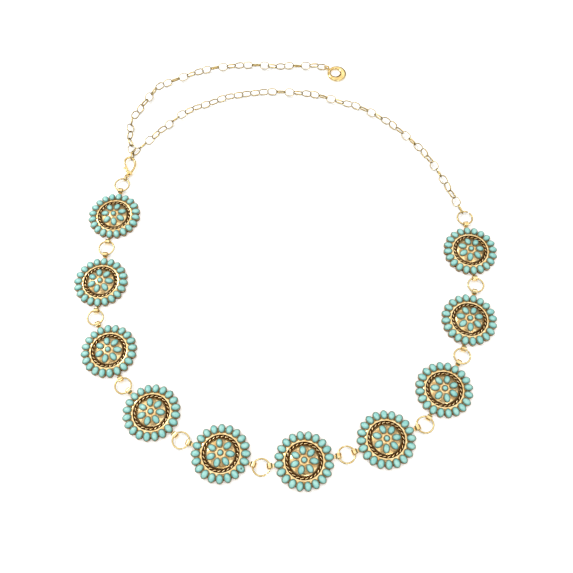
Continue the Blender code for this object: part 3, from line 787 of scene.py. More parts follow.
    def rope(self) -> Object:
        """Return the twisted rope in the channel: one slanted strand, copied round."""
        strand = added(bpy.ops.mesh.primitive_uv_sphere_add, "rope", segments=14, ring_count=9,
                       radius=MM)
        with editing(strand):
            bpy.ops.transform.resize(value=self.rope_bead)
        way = Matrix.Translation((self.rope_place * MM, 0, (self.channel_floor + self.rope_rise) * MM))
        strand.data.transform(way @ about_z(pi / 2 + self.rope_slant))
        rope = around(strand, self.rope_beads, "rope")
        # Painted shade: the beads are brown but for their tops
        return smooth(shade_down(rope, ROPE_SHADE), 80)

    def eyelet(self) -> Object:
        """Return the eyelet at +X: a rounded band with its hole across, and its stem."""
        half = self.eyelet_width / 2
        hole, outer = self.eyelet_hole, self.eyelet_outer
        round_off = self.eyelet_rounding
        profile = [(hole, -half + round_off), (hole + round_off, -half), (outer - round_off, -half),
                   (outer, -half + round_off), (outer, half - round_off), (outer - round_off, half),
                   (hole + round_off, half), (hole, half - round_off), (hole, -half + round_off)]
        band = turned("eyelet", profile, 28)
        band.data.transform(Matrix.Translation((self.eyelet_place * MM, 0, outer * MM))
                            @ Matrix.Rotation(pi / 2, 4, "X"))
        start = self.valley_radius - self.stem_sunk
        end = self.eyelet_place - hole - self.stem_short
        middle = ((start + end) / 2, 0, self.stem_level)
        stem = rounded_bar((end - start, *self.stem_section), middle, self.stem_rounding)
        item = united(band, [stem])
        # Painted shade: the stem is brown where it runs in under the stones' rims
        mark(item, "antique_and_shade", lambda place, normal: STEM_SHADE.at(self.eyelet_place - place.x / MM))
        return smooth(item, 40)

    def casting(self) -> Object:
        """Return the whole casting of one concho, with the flower's rims at their own turn."""
        outer_rim = self.outer.rim("outer_rims")
        outer_rim.data.transform(self.outer_seat())
        self.level_foot(outer_rim)
        flower = self.flower(self.petal.rim("petal_rims"), self.button.rim("button_rim"), "flower_rims")
        plate = self.plate()
        eyelet = self.eyelet()
        far_eyelet = copied(eyelet, "far_eyelet", about_z(pi))
        outer_rims = around(outer_rim, self.outer_count, "outer_rims")
        return joined([plate, outer_rims, flower, self.rope(), eyelet, far_eyelet], "casting")

    def flower(self, petal: Object, button: Object, name: str) -> Object:
        """Put a petal and a middle piece on their seats, and return the whole flower of them."""
        petal.data.transform(self.petal_seat())
        button.data.transform(self.button_seat())
        item = joined([around(petal, self.petal_count, petal.name), button], name)
        item.data.transform(about_z(self.flower_turn))
        return item

    def level_foot(self, rim: Object) -> None:
        """Flatten the foot of a tipped rim just over the plate's back."""
        with editing(rim):
            choose(rim, Pick.POINTS, lambda place: place.z < self.edge * MM * self.foot_share)
            bpy.ops.transform.resize(value=(1, 1, 0), center_override=(0, 0, self.foot_level * MM))

    def outer_stones(self) -> Object:
        """Return the outer row of stones."""
        stone = self.outer.stone("outer_stones")
        stone.data.transform(self.outer_seat())
        return around(stone, self.outer_count, "outer_stones")

    def flower_stones(self) -> Object:
        """Return the seven petals and the round stone between them."""
        return self.flower(self.petal.stone("petals"), self.button.stone("button"), "flower_stones")


@dataclass(frozen=True)
class Loop:
    """A wire loop in space, whose middle line has straight sides between its corners.

    Attributes:
        centre: Middle of the loop, in metres.
        heading: Direction of its long way on the ground plan.
        turn: How far it is turned about that direction.
        radius: Radius of its middle line.
        wire: Thickness of its wire.
        sides: Corners of its middle line.
        stretch: How far each half of an oblong loop is moved out along its long way.
    """

    centre: Vector
    heading: float
    turn: float
    radius: float
    wire: float
    sides: int
    stretch: float = 0.0

    def axes(self) -> Matrix:
        """Return the loop's own axes."""
        return about_z(self.heading) @ Matrix.Rotation(self.turn, 4, "X")

    def reach(self) -> float:
        """Return the distance from the loop's middle to the end of its middle line."""
        return self.stretch + self.radius * (cos(pi / self.sides) if self.stretch else 1.0)

    def place(self) -> Matrix:
        """Return the matrix that carries a flat ring onto this loop."""
        return Matrix.Translation(self.centre) @ self.axes()

    def middle_line(self) -> np.ndarray:
        """Return points of the wire's middle line."""
        start = 0.5 if self.stretch else 0.0
        angles = (np.arange(self.sides) + start) * tau / self.sides
        along = self.radius * np.cos(angles) + self.stretch * np.sign(np.cos(angles))
        corners = np.stack([along, self.radius * np.sin(angles), 0 * angles], axis=1)
        steps = SMOOTH_SIDES // self.sides
        shares = np.arange(steps)[None, :, None] / steps
        ends = np.roll(corners, -1, axis=0)
        flat = corners[:, None] * (1 - shares) + ends[:, None] * shares
        return flat.reshape(-1, 3) @ np.array(self.axes().to_3x3()).T + np.array(self.centre)

    def gap_to(self, line: np.ndarray, wire: float) -> float:
        """Return the clear distance to another wire's middle line."""
        steps = self.middle_line()[:, None] - line[None]
        return sqrt((steps ** 2).sum(axis=2).min()) - (self.wire + wire) / 2

    def ahead(self, distance: float, heading: float) -> Vector:
        """Return the place at a distance from the middle, in a direction on the ground plan."""
        return self.centre + distance * Vector((cos(heading), sin(heading), 0.0))


def clear_reach(near: float, far: float, gap_at: Callable[[float], float], gap: float) -> float:
    """Return the reach between two limits at which a falling clear distance passes a gap."""
    for _ in range(SEARCH_STEPS):
        reach = (near + far) / 2
        if gap_at(reach) > gap:
            near = reach
        else:
            far = reach
    return reach


def hung(last: Loop, loop: Loop, gap: float = RUNNING_GAP) -> Loop:
    """Move a loop along its own heading until it hooks the last one.

    Args:
        last: The loop that it hangs on.
        loop: The loop to move, which keeps its turn and its level.
        gap: Clear distance between the two wires.

    Returns:
        The moved loop.
    """
    line = last.middle_line()

    def loop_at(reach: float) -> Loop:
        spot = last.ahead(reach, loop.heading)
        return replace(loop, centre=Vector((spot.x, spot.y, loop.centre.z)))

    reach = clear_reach(last.reach(), last.reach() + loop.reach(),
                        lambda reach: loop_at(reach).gap_to(line, last.wire), gap)
    return loop_at(reach)


def smooth_route(points: Sequence[tuple[float, float]]) -> list[Vector]:
    """Return a dense smooth line through a route's points, in the route's own unit."""
    line = [Vector((x, y, 0.0)) for x, y in points]
    line = [2 * line[0] - line[1], *line, 2 * line[-1] - line[-2]]
    dense = []
    for before, start, end, after in zip(line, line[1:], line[2:], line[3:]):
        for step in range(ROUTE_STEPS):
            t = step / ROUTE_STEPS
            dense.append(0.5 * (
                2 * start + (end - before) * t
                + (2 * before - 5 * start + 4 * end - after) * t ** 2
                + (3 * start - before - 3 * end + after) * t ** 3
            ))
    dense.append(line[-2])
    return dense


def point_past(line: Sequence[Vector], start: Vector, distance: float) -> Vector:
    """Return the first point of a line past start that lies at a distance from it."""
    middle = start.xy.to_3d()
    inside = False
    for before, after in zip(line, line[1:]):
        near = (before - middle).length
        far = (after - middle).length
        inside = inside or near < distance
        if inside and far >= distance:
            return before.lerp(after, (distance - near) / (far - near))
    return line[-1]


@dataclass
class ConchoRow:
    """The ten conchos and the eleven jump rings, laid from the clasp round to the chain.

    Attributes:
        first_ring: Middle of the first jump ring, in millimetres.
        headings: Direction of each concho, in degrees.
        splits: Direction of each jump ring's cut, in degrees.
        wide: Numbers of the rings whose cut gapes.
        flipped: Numbers of the conchos whose flower is turned half round.
        step: Distance from one ring to the next.
        level: Height of the rings.
        radius: Radius of the rings' middle line.
        wire: Thickness of their wire.
        cut: Width of a tight cut, and of one that gapes.
        chipped: The concho with a pitted stone, and the number of that stone.
        pit_spot: Where the pit lies on that stone's crown, in millimetres.
        pit_darkening: Distance from the pit's middle to which it is dark, and at which that ends.
        pit_slope: Distance to which it is deepest, and at which it ends.
        pit_depth: How deep it is.
    """

    first_ring: tuple[float, float] = (-128.7, 59.6)
    headings: tuple[float, ...] = (261.9, 266.4, 294.5, 316.4, 340.0, 6.4, 18.8, 56.7, 72.4, 90.3)
    splits: tuple[float, ...] = (195, 150, 20, 60, -78, -62, 95, -20, 35, 160, 42)
    wide: tuple[int, ...] = (6, 11)
    flipped: tuple[int, ...] = (2, 4, 6, 7, 9)
    step: float = 57.26 * MM
    level: float = 2.1 * MM
    radius: float = 5.65 * MM
    wire: float = 1.2 * MM
    cut: tuple[float, float] = (0.4, 1.0)
    chipped: tuple[int, int] = (5, 19)
    pit_spot: tuple[float, float] = (0.4, 0.2)
    pit_darkening: tuple[float, float] = (0.35, 0.95)
    pit_slope: tuple[float, float] = (0.2, 1.0)
    pit_depth: float = 0.5

    def loops(self) -> list[Loop]:
        """Return the jump rings' loops, in order."""
        spot = Vector((self.first_ring[0] * MM, self.first_ring[1] * MM, self.level))
        loops = [Loop(spot, 0.0, 0.0, self.radius, self.wire, SMOOTH_SIDES)]
        for heading in self.headings:
            spot = loops[-1].ahead(self.step, radians(heading))
            loops.append(Loop(spot, 0.0, 0.0, self.radius, self.wire, SMOOTH_SIDES))
        return loops

    def ring(self, name: str, cut: float) -> Object:
        """Return a jump ring about Z: a wire bent round from one cut end to the other.

        Args:
            name: Name of the ring.
            cut: Width of the cut, in millimetres, which lies at +X.

        Returns:
            The ring, with bevelled ends.
        """
        half = cut * MM / 2 / self.radius
        item = added(bpy.ops.mesh.primitive_circle_add, name, vertices=14, radius=self.wire / 2,
                     fill_type="NGON", location=(self.radius, 0, 0), rotation=(pi / 2, 0, 0))
        item.data.transform(about_z(half))
        with editing(item):
            bpy.ops.mesh.spin(steps=88, angle=tau - 2 * half, center=(0, 0, 0), axis=(0, 0, 1),
                              dupli=False)
            tidy_shell()
        # Painted shade: the wire is brown on its sides and underside
        return smooth(shade_down(item, WIRE_SHADE), 50)

    def build(self, plating: Material, wire: Material, resin: Material) -> None:
        """Build every concho and ring.

        Args:
            plating: Finish of the castings.
            wire: Finish of the rings.
            resin: Finish of the stones.
        """
        kit = Concho()
        casting = dress(kit.casting(), plating)
        outer = dress(kit.outer_stones(), resin)
        flower = dress(kit.flower_stones(), resin)
        loops = self.loops()
        for number, (loop, heading) in enumerate(zip(loops, self.headings), start=1):
            name = f"concho_{number:02d}"
            middle = loop.ahead(self.step / 2, radians(heading)).xy.to_3d()
            place = Matrix.Translation(middle) @ about_z(radians(heading))
            if number in self.flipped:
                place = place @ about_z(pi)
            hand_over(copied(casting, name + "_casting", place), Body.BELT, Slot.PLATE, name + "_plate")
            stones = copied(outer, name + "_outer_stones", place)
            if number == self.chipped[0]:
                self.chip(stones, place, kit)
            hand_over(stones, Body.BELT, Slot.STONE, name + "_stone_ring")
            petals = copied(flower, name + "_flower_stones", place)
            hand_over(petals, Body.BELT, Slot.STONE, name + "_flower")
        discard(casting, outer, flower)
        self.build_rings(loops, wire)

    def chip(self, stones: Object, place: Matrix, kit: Concho) -> None:
        """Pit the crown of one outer stone."""
        turn = about_z(self.chipped[1] * tau / kit.outer_count)
        pit = place @ turn @ kit.outer_seat() @ (Vector((*self.pit_spot, kit.outer.crown)) * MM)
        # The stone is darker in and round the pit
        mark(stones, "pit", lambda point, normal: 1.0 - ramp((point - pit).length / MM, *self.pit_darkening))
        for vert in stones.data.vertices:
            share = 1.0 - ramp((vert.co - pit).length / MM, *self.pit_slope)
            vert.co.z -= self.pit_depth * MM * share

    def build_rings(self, loops: Sequence[Loop], wire: Material) -> None:
        """Build the jump rings from a tight one and a gaping one."""
        patterns = [dress(self.ring("jump_ring", cut), wire) for cut in self.cut]
        for number, (loop, split) in enumerate(zip(loops, self.splits), start=1):
            turn = about_z(radians(split))
            pattern = patterns[number in self.wide]
            name = f"jump_ring_{number:02d}"
            item = copied(pattern, name + "_wire", Matrix.Translation(loop.centre) @ turn)
            hand_over(item, Body.BELT, Slot.RING, name)
        discard(*patterns)


@dataclass
class LobsterClasp:
    """Cast clasp: a pear-shaped hook closed by a sprung lever with a thumb tab.

    Its rings, its level and its wire are in metres and its other sizes in millimetres. Its outline
    runs across and along from the lever's hinge.
    """

    heading: float = radians(86)
    ring_heading: float = radians(67)
    ring_radius: float = 2.2 * MM
    ring_wire: float = 0.9 * MM
    eye_radius: float = 1.35 * MM
    level: float = 2.3 * MM
    hinge_to_eye: tuple[float, float] = (-0.75, -3.1)
    hook: tuple[tuple[float, float], ...] = (
        (2.3, 0.1), (3.0, 2.1), (4.1, 4.8), (4.5, 7.6), (3.9, 10.9), (2.0, 13.9),
        (-0.9, 15.1), (-3.4, 13.7), (-4.2, 11.0), (-3.7, 8.9))
    wire: float = 1.7 * MM
    taper: float = 0.25
    taper_start: float = 0.8
    shade_start: float = 0.9
    disc_rounding: float = 0.12
    cheek_radius: float = 1.7
    cheek_thickness: float = 0.5
    lever_thickness: float = 1.0
    hub_radius: float = 1.1
    pin_radius: float = 0.35
    pin_head: float = 0.12
    pin_play: float = 0.27
    tip_gap: float = 0.6
    gap: float = 0.3
    rounding: float = 0.2
    web: tuple[float, float, float] = (1.6, 2.4, 2.5)
    neck: tuple[float, float, float] = (0.9, 1.6, 2.5)
    arm_start: float = 0.9
    arm_width: float = 2.0
    arm_rounding: float = 0.22
    arm_taper: tuple[float, float, float] = (1.0, 0.6, 0.9)
    tab: tuple[float, float] = (1.5, 2.2)
    tab_share: float = 0.62
    tab_side: float = 1.4
    tab_rounding: float = 0.3
    rib: tuple[float, float, float] = (0.2, 1.3, 0.16)
    rib_steps: tuple[float, ...] = (-0.4, 0.0, 0.4)
    rib_side: float = 1.6
    rib_rise: float = 0.02
    rib_rounding: float = 0.05

    def clasp_ring(self, first_ring: Loop) -> Loop:
        """Return the small ring that joins the clasp to the first jump ring."""
        level = self.ring_radius + self.ring_wire / 2
        upright = Loop(Vector((0, 0, level)), self.ring_heading, pi / 2, self.ring_radius, self.ring_wire,
                       EYE_SIDES)
        return hung(first_ring, upright)

    def eye(self, clasp_ring: Loop) -> Loop:
        """Return the eye at the clasp's foot."""
        flat = Loop(Vector((0, 0, self.level)), self.ring_heading, 0.0, self.eye_radius, self.ring_wire,
                    EYE_SIDES)
        return hung(clasp_ring, flat)

    def hinge(self, eye: Loop) -> Vector:
        """Return the middle of the lever's hinge."""
        return eye.centre - self.axes(Vector()) @ Vector((*self.hinge_to_eye, 0.0)) * MM

    def axes(self, hinge: Vector) -> Matrix:
        """Return the clasp's own axes at its hinge."""
        return Matrix.Translation(hinge) @ about_z(self.heading - pi / 2)

    def hook_wire(self, hinge: Vector) -> np.ndarray:
        """Return points of the hook's middle line in the world."""
        axes = self.axes(hinge)
        return np.array([axes @ (point * MM) for point in smooth_route(self.hook)])

    def hook_body(self) -> Object:
        """Return the hook: a cast bar that swells at its back and tapers to its point."""
        deselect()
        line = smooth_route(self.hook)
        curve = bpy.data.curves.new("hook", "CURVE")
        curve.dimensions = "3D"
        curve.bevel_depth = self.wire / 2
        curve.bevel_resolution = 4
        curve.use_fill_caps = True
        spline = curve.splines.new("POLY")
        spline.points.add(len(line) - 1)
        for number, (point, place) in enumerate(zip(spline.points, line)):
            share = number / (len(line) - 1)
            point.co = (*(place * MM), 1.0)
            point.radius = 1.0 - self.taper * ramp(share, self.taper_start, 1.0)
        item = bpy.data.objects.new("hook", curve)
        bpy.context.scene.collection.objects.link(item)
        take_up(item)
        bpy.ops.object.convert(target="MESH")
        item = bpy.context.object
        with editing(item):
            tidy_shell()
        return item

    def disc(self, radius: float, low: float, high: float, sides: int = 40) -> Object:
        """Return a disc about the hinge between two heights, in millimetres, with soft edges."""
        item = added(bpy.ops.mesh.primitive_cylinder_add, "disc", vertices=sides, radius=radius * MM,
                     depth=(high - low) * MM, location=(0, 0, (low + high) / 2 * MM))
        with editing(item):
            choose(item, Pick.FACES, lambda middle: middle.xy.length < MERGE)
            bpy.ops.mesh.bevel(offset=self.disc_rounding * MM, segments=2, affect="EDGES")
            tidy_shell()
        return item

    def body(self, hinge: Vector, eye: Loop) -> Object:
        """Return the clasp's body as one casting."""
        inside = self.lever_thickness / 2 + self.gap
        outside = inside + self.cheek_thickness
        start = self.hub_radius + self.gap
        web = rounded_bar(self.web, (start + self.web[0] / 2, 0, 0), self.rounding)
        cheeks = [self.disc(self.cheek_radius, *limits)
                  for limits in ((inside, outside), (-outside, -inside))]
        reach = outside + self.pin_head
        pin = self.disc(self.pin_radius, -reach, reach, 20)
        way = self.axes(hinge).inverted() @ eye.centre
        neck = rounded_bar(self.neck, (start + self.neck[0] / 2, 0, 0), self.rounding)
        neck.data.transform(about_z(atan2(way.y, way.x)))
        ring = wire_ring("eye", eye.radius, eye.wire, 32, 14)
        ring.data.transform(self.axes(hinge).inverted() @ eye.place())
        item = united(self.hook_body(), [*cheeks, pin, web, neck, ring])
        item.data.transform(self.axes(hinge))
        # Painted shade: the clasp is browner towards its bottom
        low = hinge.z - self.shade_start * MM
        mark(item, "antique_and_shade", lambda place, normal: CLASP_SHADE.at((low - place.z) / MM))
        return smooth(named(item, "clasp_hook"), 38)

    def lever(self, hinge: Vector) -> Object:
        """Return the lever: hub, tapered arm and ribbed thumb tab."""
        half = self.lever_thickness / 2
        tip = Vector(self.hook[-1])
        length = tip.length - self.tip_gap
        hub = self.disc(self.hub_radius, -half, half)
        size = (length - self.arm_start, self.arm_width, self.lever_thickness)
        arm = rounded_bar(size, ((length + self.arm_start) / 2, 0, 0), self.arm_rounding)
        with editing(arm):
            choose(arm, Pick.POINTS, lambda place: place.x > length * MM / 2)
            bpy.ops.transform.resize(value=self.arm_taper, center_override=(length * MM / 2, 0, 0))
        along = length * self.tab_share
        tab = rounded_bar((*self.tab, self.lever_thickness), (along, self.tab_side, 0), self.tab_rounding)
        middles = [(along + step, self.rib_side, half + self.rib_rise) for step in self.rib_steps]
        ribs = [rounded_bar(self.rib, middle, self.rib_rounding) for middle in middles]
        for piece in (arm, tab, *ribs):
            piece.data.transform(about_z(atan2(tip.y, tip.x)))
        item = united(hub, [arm, tab, *ribs])
        hole = self.disc(self.pin_radius + self.pin_play, -2 * half, 2 * half, 32)
        united(item, [hole], "DIFFERENCE")
        item.data.transform(self.axes(hinge))
        # Painted shade: the lever is browner below its top
        top = hinge.z + half * MM
        mark(item, "antique_and_shade", lambda place, normal: LEVER_SHADE.at((top - place.z) / MM))
        return smooth(named(item, "clasp_lever_bar"), 38)

    def build(self, first_ring: Loop, plating: Material) -> Vector:
        """Build the clasp and its ring, and return the place of its hinge."""
        small = self.clasp_ring(first_ring)
        ring = wire_ring("clasp_ring_wire", small.radius, small.wire, 48, 16)
        ring.data.transform(small.place())
        hand_over(dress(ring, plating), Body.BELT, Slot.CLASP, "clasp_ring")
        eye = self.eye(small)
        hinge = self.hinge(eye)
        hand_over(dress(self.body(hinge, eye), plating), Body.BELT, Slot.CLASP, "clasp_body")
        hand_over(dress(self.lever(hinge), plating), Body.LEVER, Slot.CLASP, "clasp_lever")
        return hinge


def wire_ring(name: str, radius: float, wire: float, steps: int, sides: int) -> Object:
    """Return a closed ring of round wire about Z, flattened a little where it was pressed.

    Args:
        name: Name of the ring.
        radius: Radius of its middle line.
        wire: Thickness of its wire.
        steps: Steps round the ring.
        sides: Sides of the wire.

    Returns:
        The ring.
    """
    item = added(bpy.ops.mesh.primitive_torus_add, name, major_radius=radius, minor_radius=wire / 2,
                 major_segments=steps, minor_segments=sides)
    with editing(item):
        choose(item, Pick.POINTS, lambda place: place.xy.length > radius + wire * PRESSED_FROM)
        bpy.ops.transform.resize(value=(PRESSED_TO, PRESSED_TO, 1), center_override=(0, 0, 0))
    # Painted shade: the ring is brown on its inner side
    mark(item, "antique_and_shade", lambda place, normal: RING_INSIDE_SHADE.at((radius - place.xy.length) / wire))
    return smooth(item, 60)


@dataclass
class CableChain:
    """Chain of oblong wire links: from the last concho to the clasp, and on as a tail.

    Attributes hold its sizes in metres, and its routes and its place on the hook in millimetres.
    """

    length: float = 8.45 * MM
    width: float = 6.5 * MM
    wire: float = 0.7 * MM
    drawn_wire: float = 0.64 * MM
    drawn_band: float = 1.16 * MM
    drawn_steps: int = 44
    turn: float = radians(72)
    square: tuple[int, int] = (30, 38)
    square_turn: float = radians(92)
    overlap: float = 0.2 * MM
    joined_links: int = 8
    main_count: int = 47
    tail_count: int = 31
    hook_place: tuple[float, float] = (1.2, 14.5)
    hook_heading: float = radians(82)
    branch_headings: tuple[float, float] = (radians(57), radians(97.5))
    branch_turns: tuple[float, float] = (radians(-15), 0.0)
    branch_stack: float = 1.15 * MM
    branch_gap: float = 0.45 * MM
    closing_slack: float = 0.15 * MM
    tail_slack: float = 0.06 * MM
    main_route: tuple[tuple[float, float], ...] = (
        (125.3, 54.9), (115.9, 75.8), (107.9, 87.9), (93.6, 105.6), (83.1, 115.1), (65.4, 127.8),
        (51.8, 133.1), (31.1, 141.8), (16.9, 144.8), (-5.0, 147.1), (-19.2, 146.9), (-33.0, 145.2),
        (-46.4, 142.9), (-59.5, 137.4), (-72.4, 132.7), (-84.5, 125.5), (-90.2, 119.8),
        (-100.4, 110.0), (-109.9, 100.1))
    tail_route: tuple[tuple[float, float], ...] = (
        (-125.1, 103.9), (-124.7, 110.3), (-125.4, 117.5), (-122.8, 125.9), (-119.4, 131.6),
        (-116.3, 137.2), (-112.9, 143.7), (-109.1, 149.0), (-104.9, 155.9), (-92.8, 162.3),
        (-85.3, 165.6), (-72.1, 170.8), (-58.4, 175.0), (-51.3, 175.8), (-37.0, 177.1),
        (-23.1, 177.1), (-15.4, 176.4), (-0.9, 174.5), (6.2, 175.1), (19.2, 174.2), (26.1, 174.8),
        (34.0, 173.6), (39.8, 171.5), (48.4, 165.3))

    def level(self) -> float:
        """Return the height of the links' middles."""
        return self.width / 2

    def bend(self) -> float:
        """Return the radius of the middle line at a link's round ends."""
        return (self.width - self.wire) / 2

    def stretch(self) -> float:
        """Return how far each half of a link is moved out from a round one's place."""
        return (self.length - self.width) / 2

    def link(self, spot: Vector, level: float, heading: float, turn: float) -> Loop:
        """Return one link over a spot of the ground plan."""
        return Loop(Vector((spot.x, spot.y, level)), heading, turn, self.bend() / cos(pi / LINK_SIDES),
                    self.wire, LINK_SIDES, self.stretch())

    def next_link(self, line: Sequence[Vector], last: Loop, turn: float, level: float,
                  gap: float) -> Loop:
        """Return the link on a line that hooks the last one with a given gap to it."""
        wire = last.middle_line()

        def link_at(reach: float) -> Loop:
            spot = point_past(line, last.centre, reach)
            way = (spot - last.centre).xy
            return self.link(spot, level, atan2(way.y, way.x), turn)

        reach = clear_reach(last.reach(), last.reach() + self.length / 2,
                            lambda reach: link_at(reach).gap_to(wire, last.wire), gap)
        return link_at(reach)

    def laid(self, route: Sequence[tuple[float, float]], first: Loop,
             turns: Sequence[tuple[float, float]], slack: float, started: int) -> list[Loop]:
        """Return the links that follow a first loop along a route.

        Args:
            route: Points of the route, in millimetres.
            first: The loop that the first new link hooks.
            turns: Turn and level of each new link.
            slack: Added to each gap between links.
            started: How many links of this chain are there already.

        Returns:
            The new links.
        """
        points = [(first.centre.x / MM, first.centre.y / MM), *route]
        line = [point * MM for point in smooth_route(points)]
        links = []
        last = first
        for number, (turn, level) in enumerate(turns, start=started):
            gap = -self.overlap if number % self.joined_links > 0 else RUNNING_GAP
            last = self.next_link(line, last, turn, level, gap + slack)
            links.append(last)
        return links

    def main_turns(self) -> list[tuple[float, float]]:
        """Return the turn and level of each main link."""
        turns = []
        turn = 0.0
        for number in range(1, self.main_count):
            turn += self.square_turn if self.square[0] < number <= self.square[1] else self.turn
            turns.append((turn, self.level()))
        return turns

    def main_links(self, first: Loop, last: Loop) -> list[Loop]:
        """Return the main links, with the small slack that makes them end at the last one."""
        route = [*self.main_route, (last.centre.x / MM, last.centre.y / MM)]
        low, high = -self.closing_slack, self.closing_slack
        for _ in range(SEARCH_STEPS // 2):
            slack = (low + high) / 2
            links = self.laid(route, first, self.main_turns(), slack, 0)
            wanted = hung(links[-1], last, slack - self.overlap)
            reach = (last.centre - links[-1].centre).xy.length
            if reach > (wanted.centre - links[-1].centre).xy.length:
                high = slack
            else:
                low = slack
        return [*links, last]

    def tail_links(self, first: Loop, end_level: float) -> list[Loop]:
        """Return the tail's links, from the one on the hook to the one on the end ring."""
        turns = [(number * self.turn, self.level()) for number in range(1, self.tail_count)]
        turns[-1] = (turns[-1][0], end_level)
        return [first, *self.laid(self.tail_route, first, turns, self.tail_slack, 1)]

    def hook_link(self, clasp: LobsterClasp, hinge: Vector) -> Loop:
        """Return the link that stands on its edge in the clasp's hook."""
        start = clasp.axes(hinge) @ (Vector((*self.hook_place, 0.0)) * MM)
        wire = clasp.hook_wire(hinge)

        def link_at(reach: float) -> Loop:
            spot = start + reach * Vector((cos(self.hook_heading), sin(self.hook_heading), 0.0))
            return self.link(spot, self.level(), self.hook_heading, pi / 2)

        reach = clear_reach(0.0, self.length / 2, lambda reach: link_at(reach).gap_to(wire, clasp.wire),
                            RUNNING_GAP)
        return link_at(reach)

    def build(self, clasp: LobsterClasp, hinge: Vector, last_ring: Loop, end_level: float,
              wire: Material) -> Loop:
        """Build both stretches of chain, and return the tail's last link."""
        pattern = dress(self.pattern(), wire)
        hook = self.hook_link(clasp, hinge)
        hook_item = copied(pattern, "hook_link_wire", hook.place())
        # Painted shade: the link is brown on its sides and underside, over a light even brown
        hand_over(shade_down(hook_item, LINK_SHADE), Body.BELT, Slot.CHAIN, "hook_link")
        lifts = (-self.branch_stack / 2, self.branch_stack / 2)
        main_end, tail_start = [
            hung(hook, self.link(hook.centre, self.level() + lift, heading, turn), self.branch_gap)
            for heading, turn, lift in zip(self.branch_headings, self.branch_turns, lifts)]
        main = self.main_links(last_ring, main_end)
        tail = self.tail_links(tail_start, end_level)
        for name, links in (("main_chain", main), ("tail_chain", tail)):
            for number, start in enumerate(range(0, len(links), self.joined_links), start=1):
                group = links[start:start + self.joined_links]
                item = joined([copied(pattern, "link", link.place()) for link in group],
                              f"{name}_{number}_links")
                # Painted shade: the links are brown on their sides and undersides, over a light even
                # brown
                hand_over(shade_down(item, LINK_SHADE), Body.BELT, Slot.CHAIN, f"{name}_{number}")
        discard(pattern)
        return tail[-1]

    def pattern(self) -> Object:
        """Return one link about Z, with round ends and straight sides along X."""
        item = wire_ring("link", self.bend(), self.drawn_wire, self.drawn_steps, 12)
        flattened = Matrix.Diagonal((1.0, 1.0, self.drawn_band / self.drawn_wire, 1.0))
        item.data.transform(flattened @ about_z(pi / self.drawn_steps))
        with editing(item):
            for side in (-1, 1):
                choose(item, Pick.POINTS, lambda place: place.x * side > 0)
                bpy.ops.transform.translate(value=(side * self.stretch(), 0, 0))
        return item


@dataclass
class EndRing:
    """Polished end ring with its hole off centre and an upright eye.

    Attributes hold its sizes in millimetres.
    """

    radius: float = 8.0
    hole: float = 3.95
    offset: float = 1.5
    thickness: float = 2.5
    eye_radius: float = 1.75
    eye_wire: float = 1.3
    heading: float = radians(-36)
    stand_off: float = 0.5
    neck: tuple[float, float, float] = (2.2, 1.7, 1.2)
    neck_rounding: float = 0.35
    sections: int = 20

    def eye_level(self) -> float:
        """Return the height of the eye's middle, in metres."""
        return (self.eye_radius + self.eye_wire / 2) * MM

    def donut(self) -> Object:
        """Return the ring about Z, thinner on the side of its eye."""
        middle = (self.radius + self.hole) / 2
        half = (self.radius - self.hole) / 2
        item = added(bpy.ops.mesh.primitive_torus_add, "donut", major_radius=middle * MM,
                     minor_radius=half * MM, major_segments=96, minor_segments=self.sections * 2)
        with editing(item):
            bpy.ops.transform.resize(value=(1, 1, self.thickness / 2 / half))
            for number in range(self.sections + 1):
                reach = (middle - half * cos(number * pi / self.sections)) * MM
                choose(item, Pick.POINTS, lambda place: abs(place.xy.length - reach) < MERGE)
                shift = self.offset * (self.radius * MM - reach) / (self.radius - self.hole)
                bpy.ops.transform.translate(value=(-shift, 0, 0))
        return item

    def build(self, last_link: Loop, plating: Material) -> None:
        """Build the ring at the end of the tail."""
        upright = Loop(Vector((0, 0, self.eye_level())), last_link.heading, pi / 2, self.eye_radius * MM,
                       self.eye_wire * MM, EYE_SIDES)
        eye = hung(last_link, upright)
        reach = (self.radius + self.eye_radius + self.stand_off) * MM
        spot = eye.ahead(reach, self.heading)
        place = Matrix.Translation((spot.x, spot.y, self.thickness / 2 * MM)) @ about_z(self.heading)
        donut = self.donut()
        donut.data.transform(place)
        ring = wire_ring("eye", eye.radius, eye.wire, 40, 16)
        ring.data.transform(eye.place())
        neck = rounded_bar(self.neck, (0, 0, 0), self.neck_rounding)
        neck.data.transform(place @ Matrix.Translation((-self.radius * MM, 0, 0)))
        item = named(united(donut, [ring, neck]), "end_ring_casting")
        # Painted shade: the ring is browner near the floor
        mark(item, "antique_and_shade", lambda point, normal: END_RING_SHADE.at(-point.z / MM))
        hand_over(dress(smooth(item, 40), plating), Body.BELT, Slot.CLASP, "end_ring")


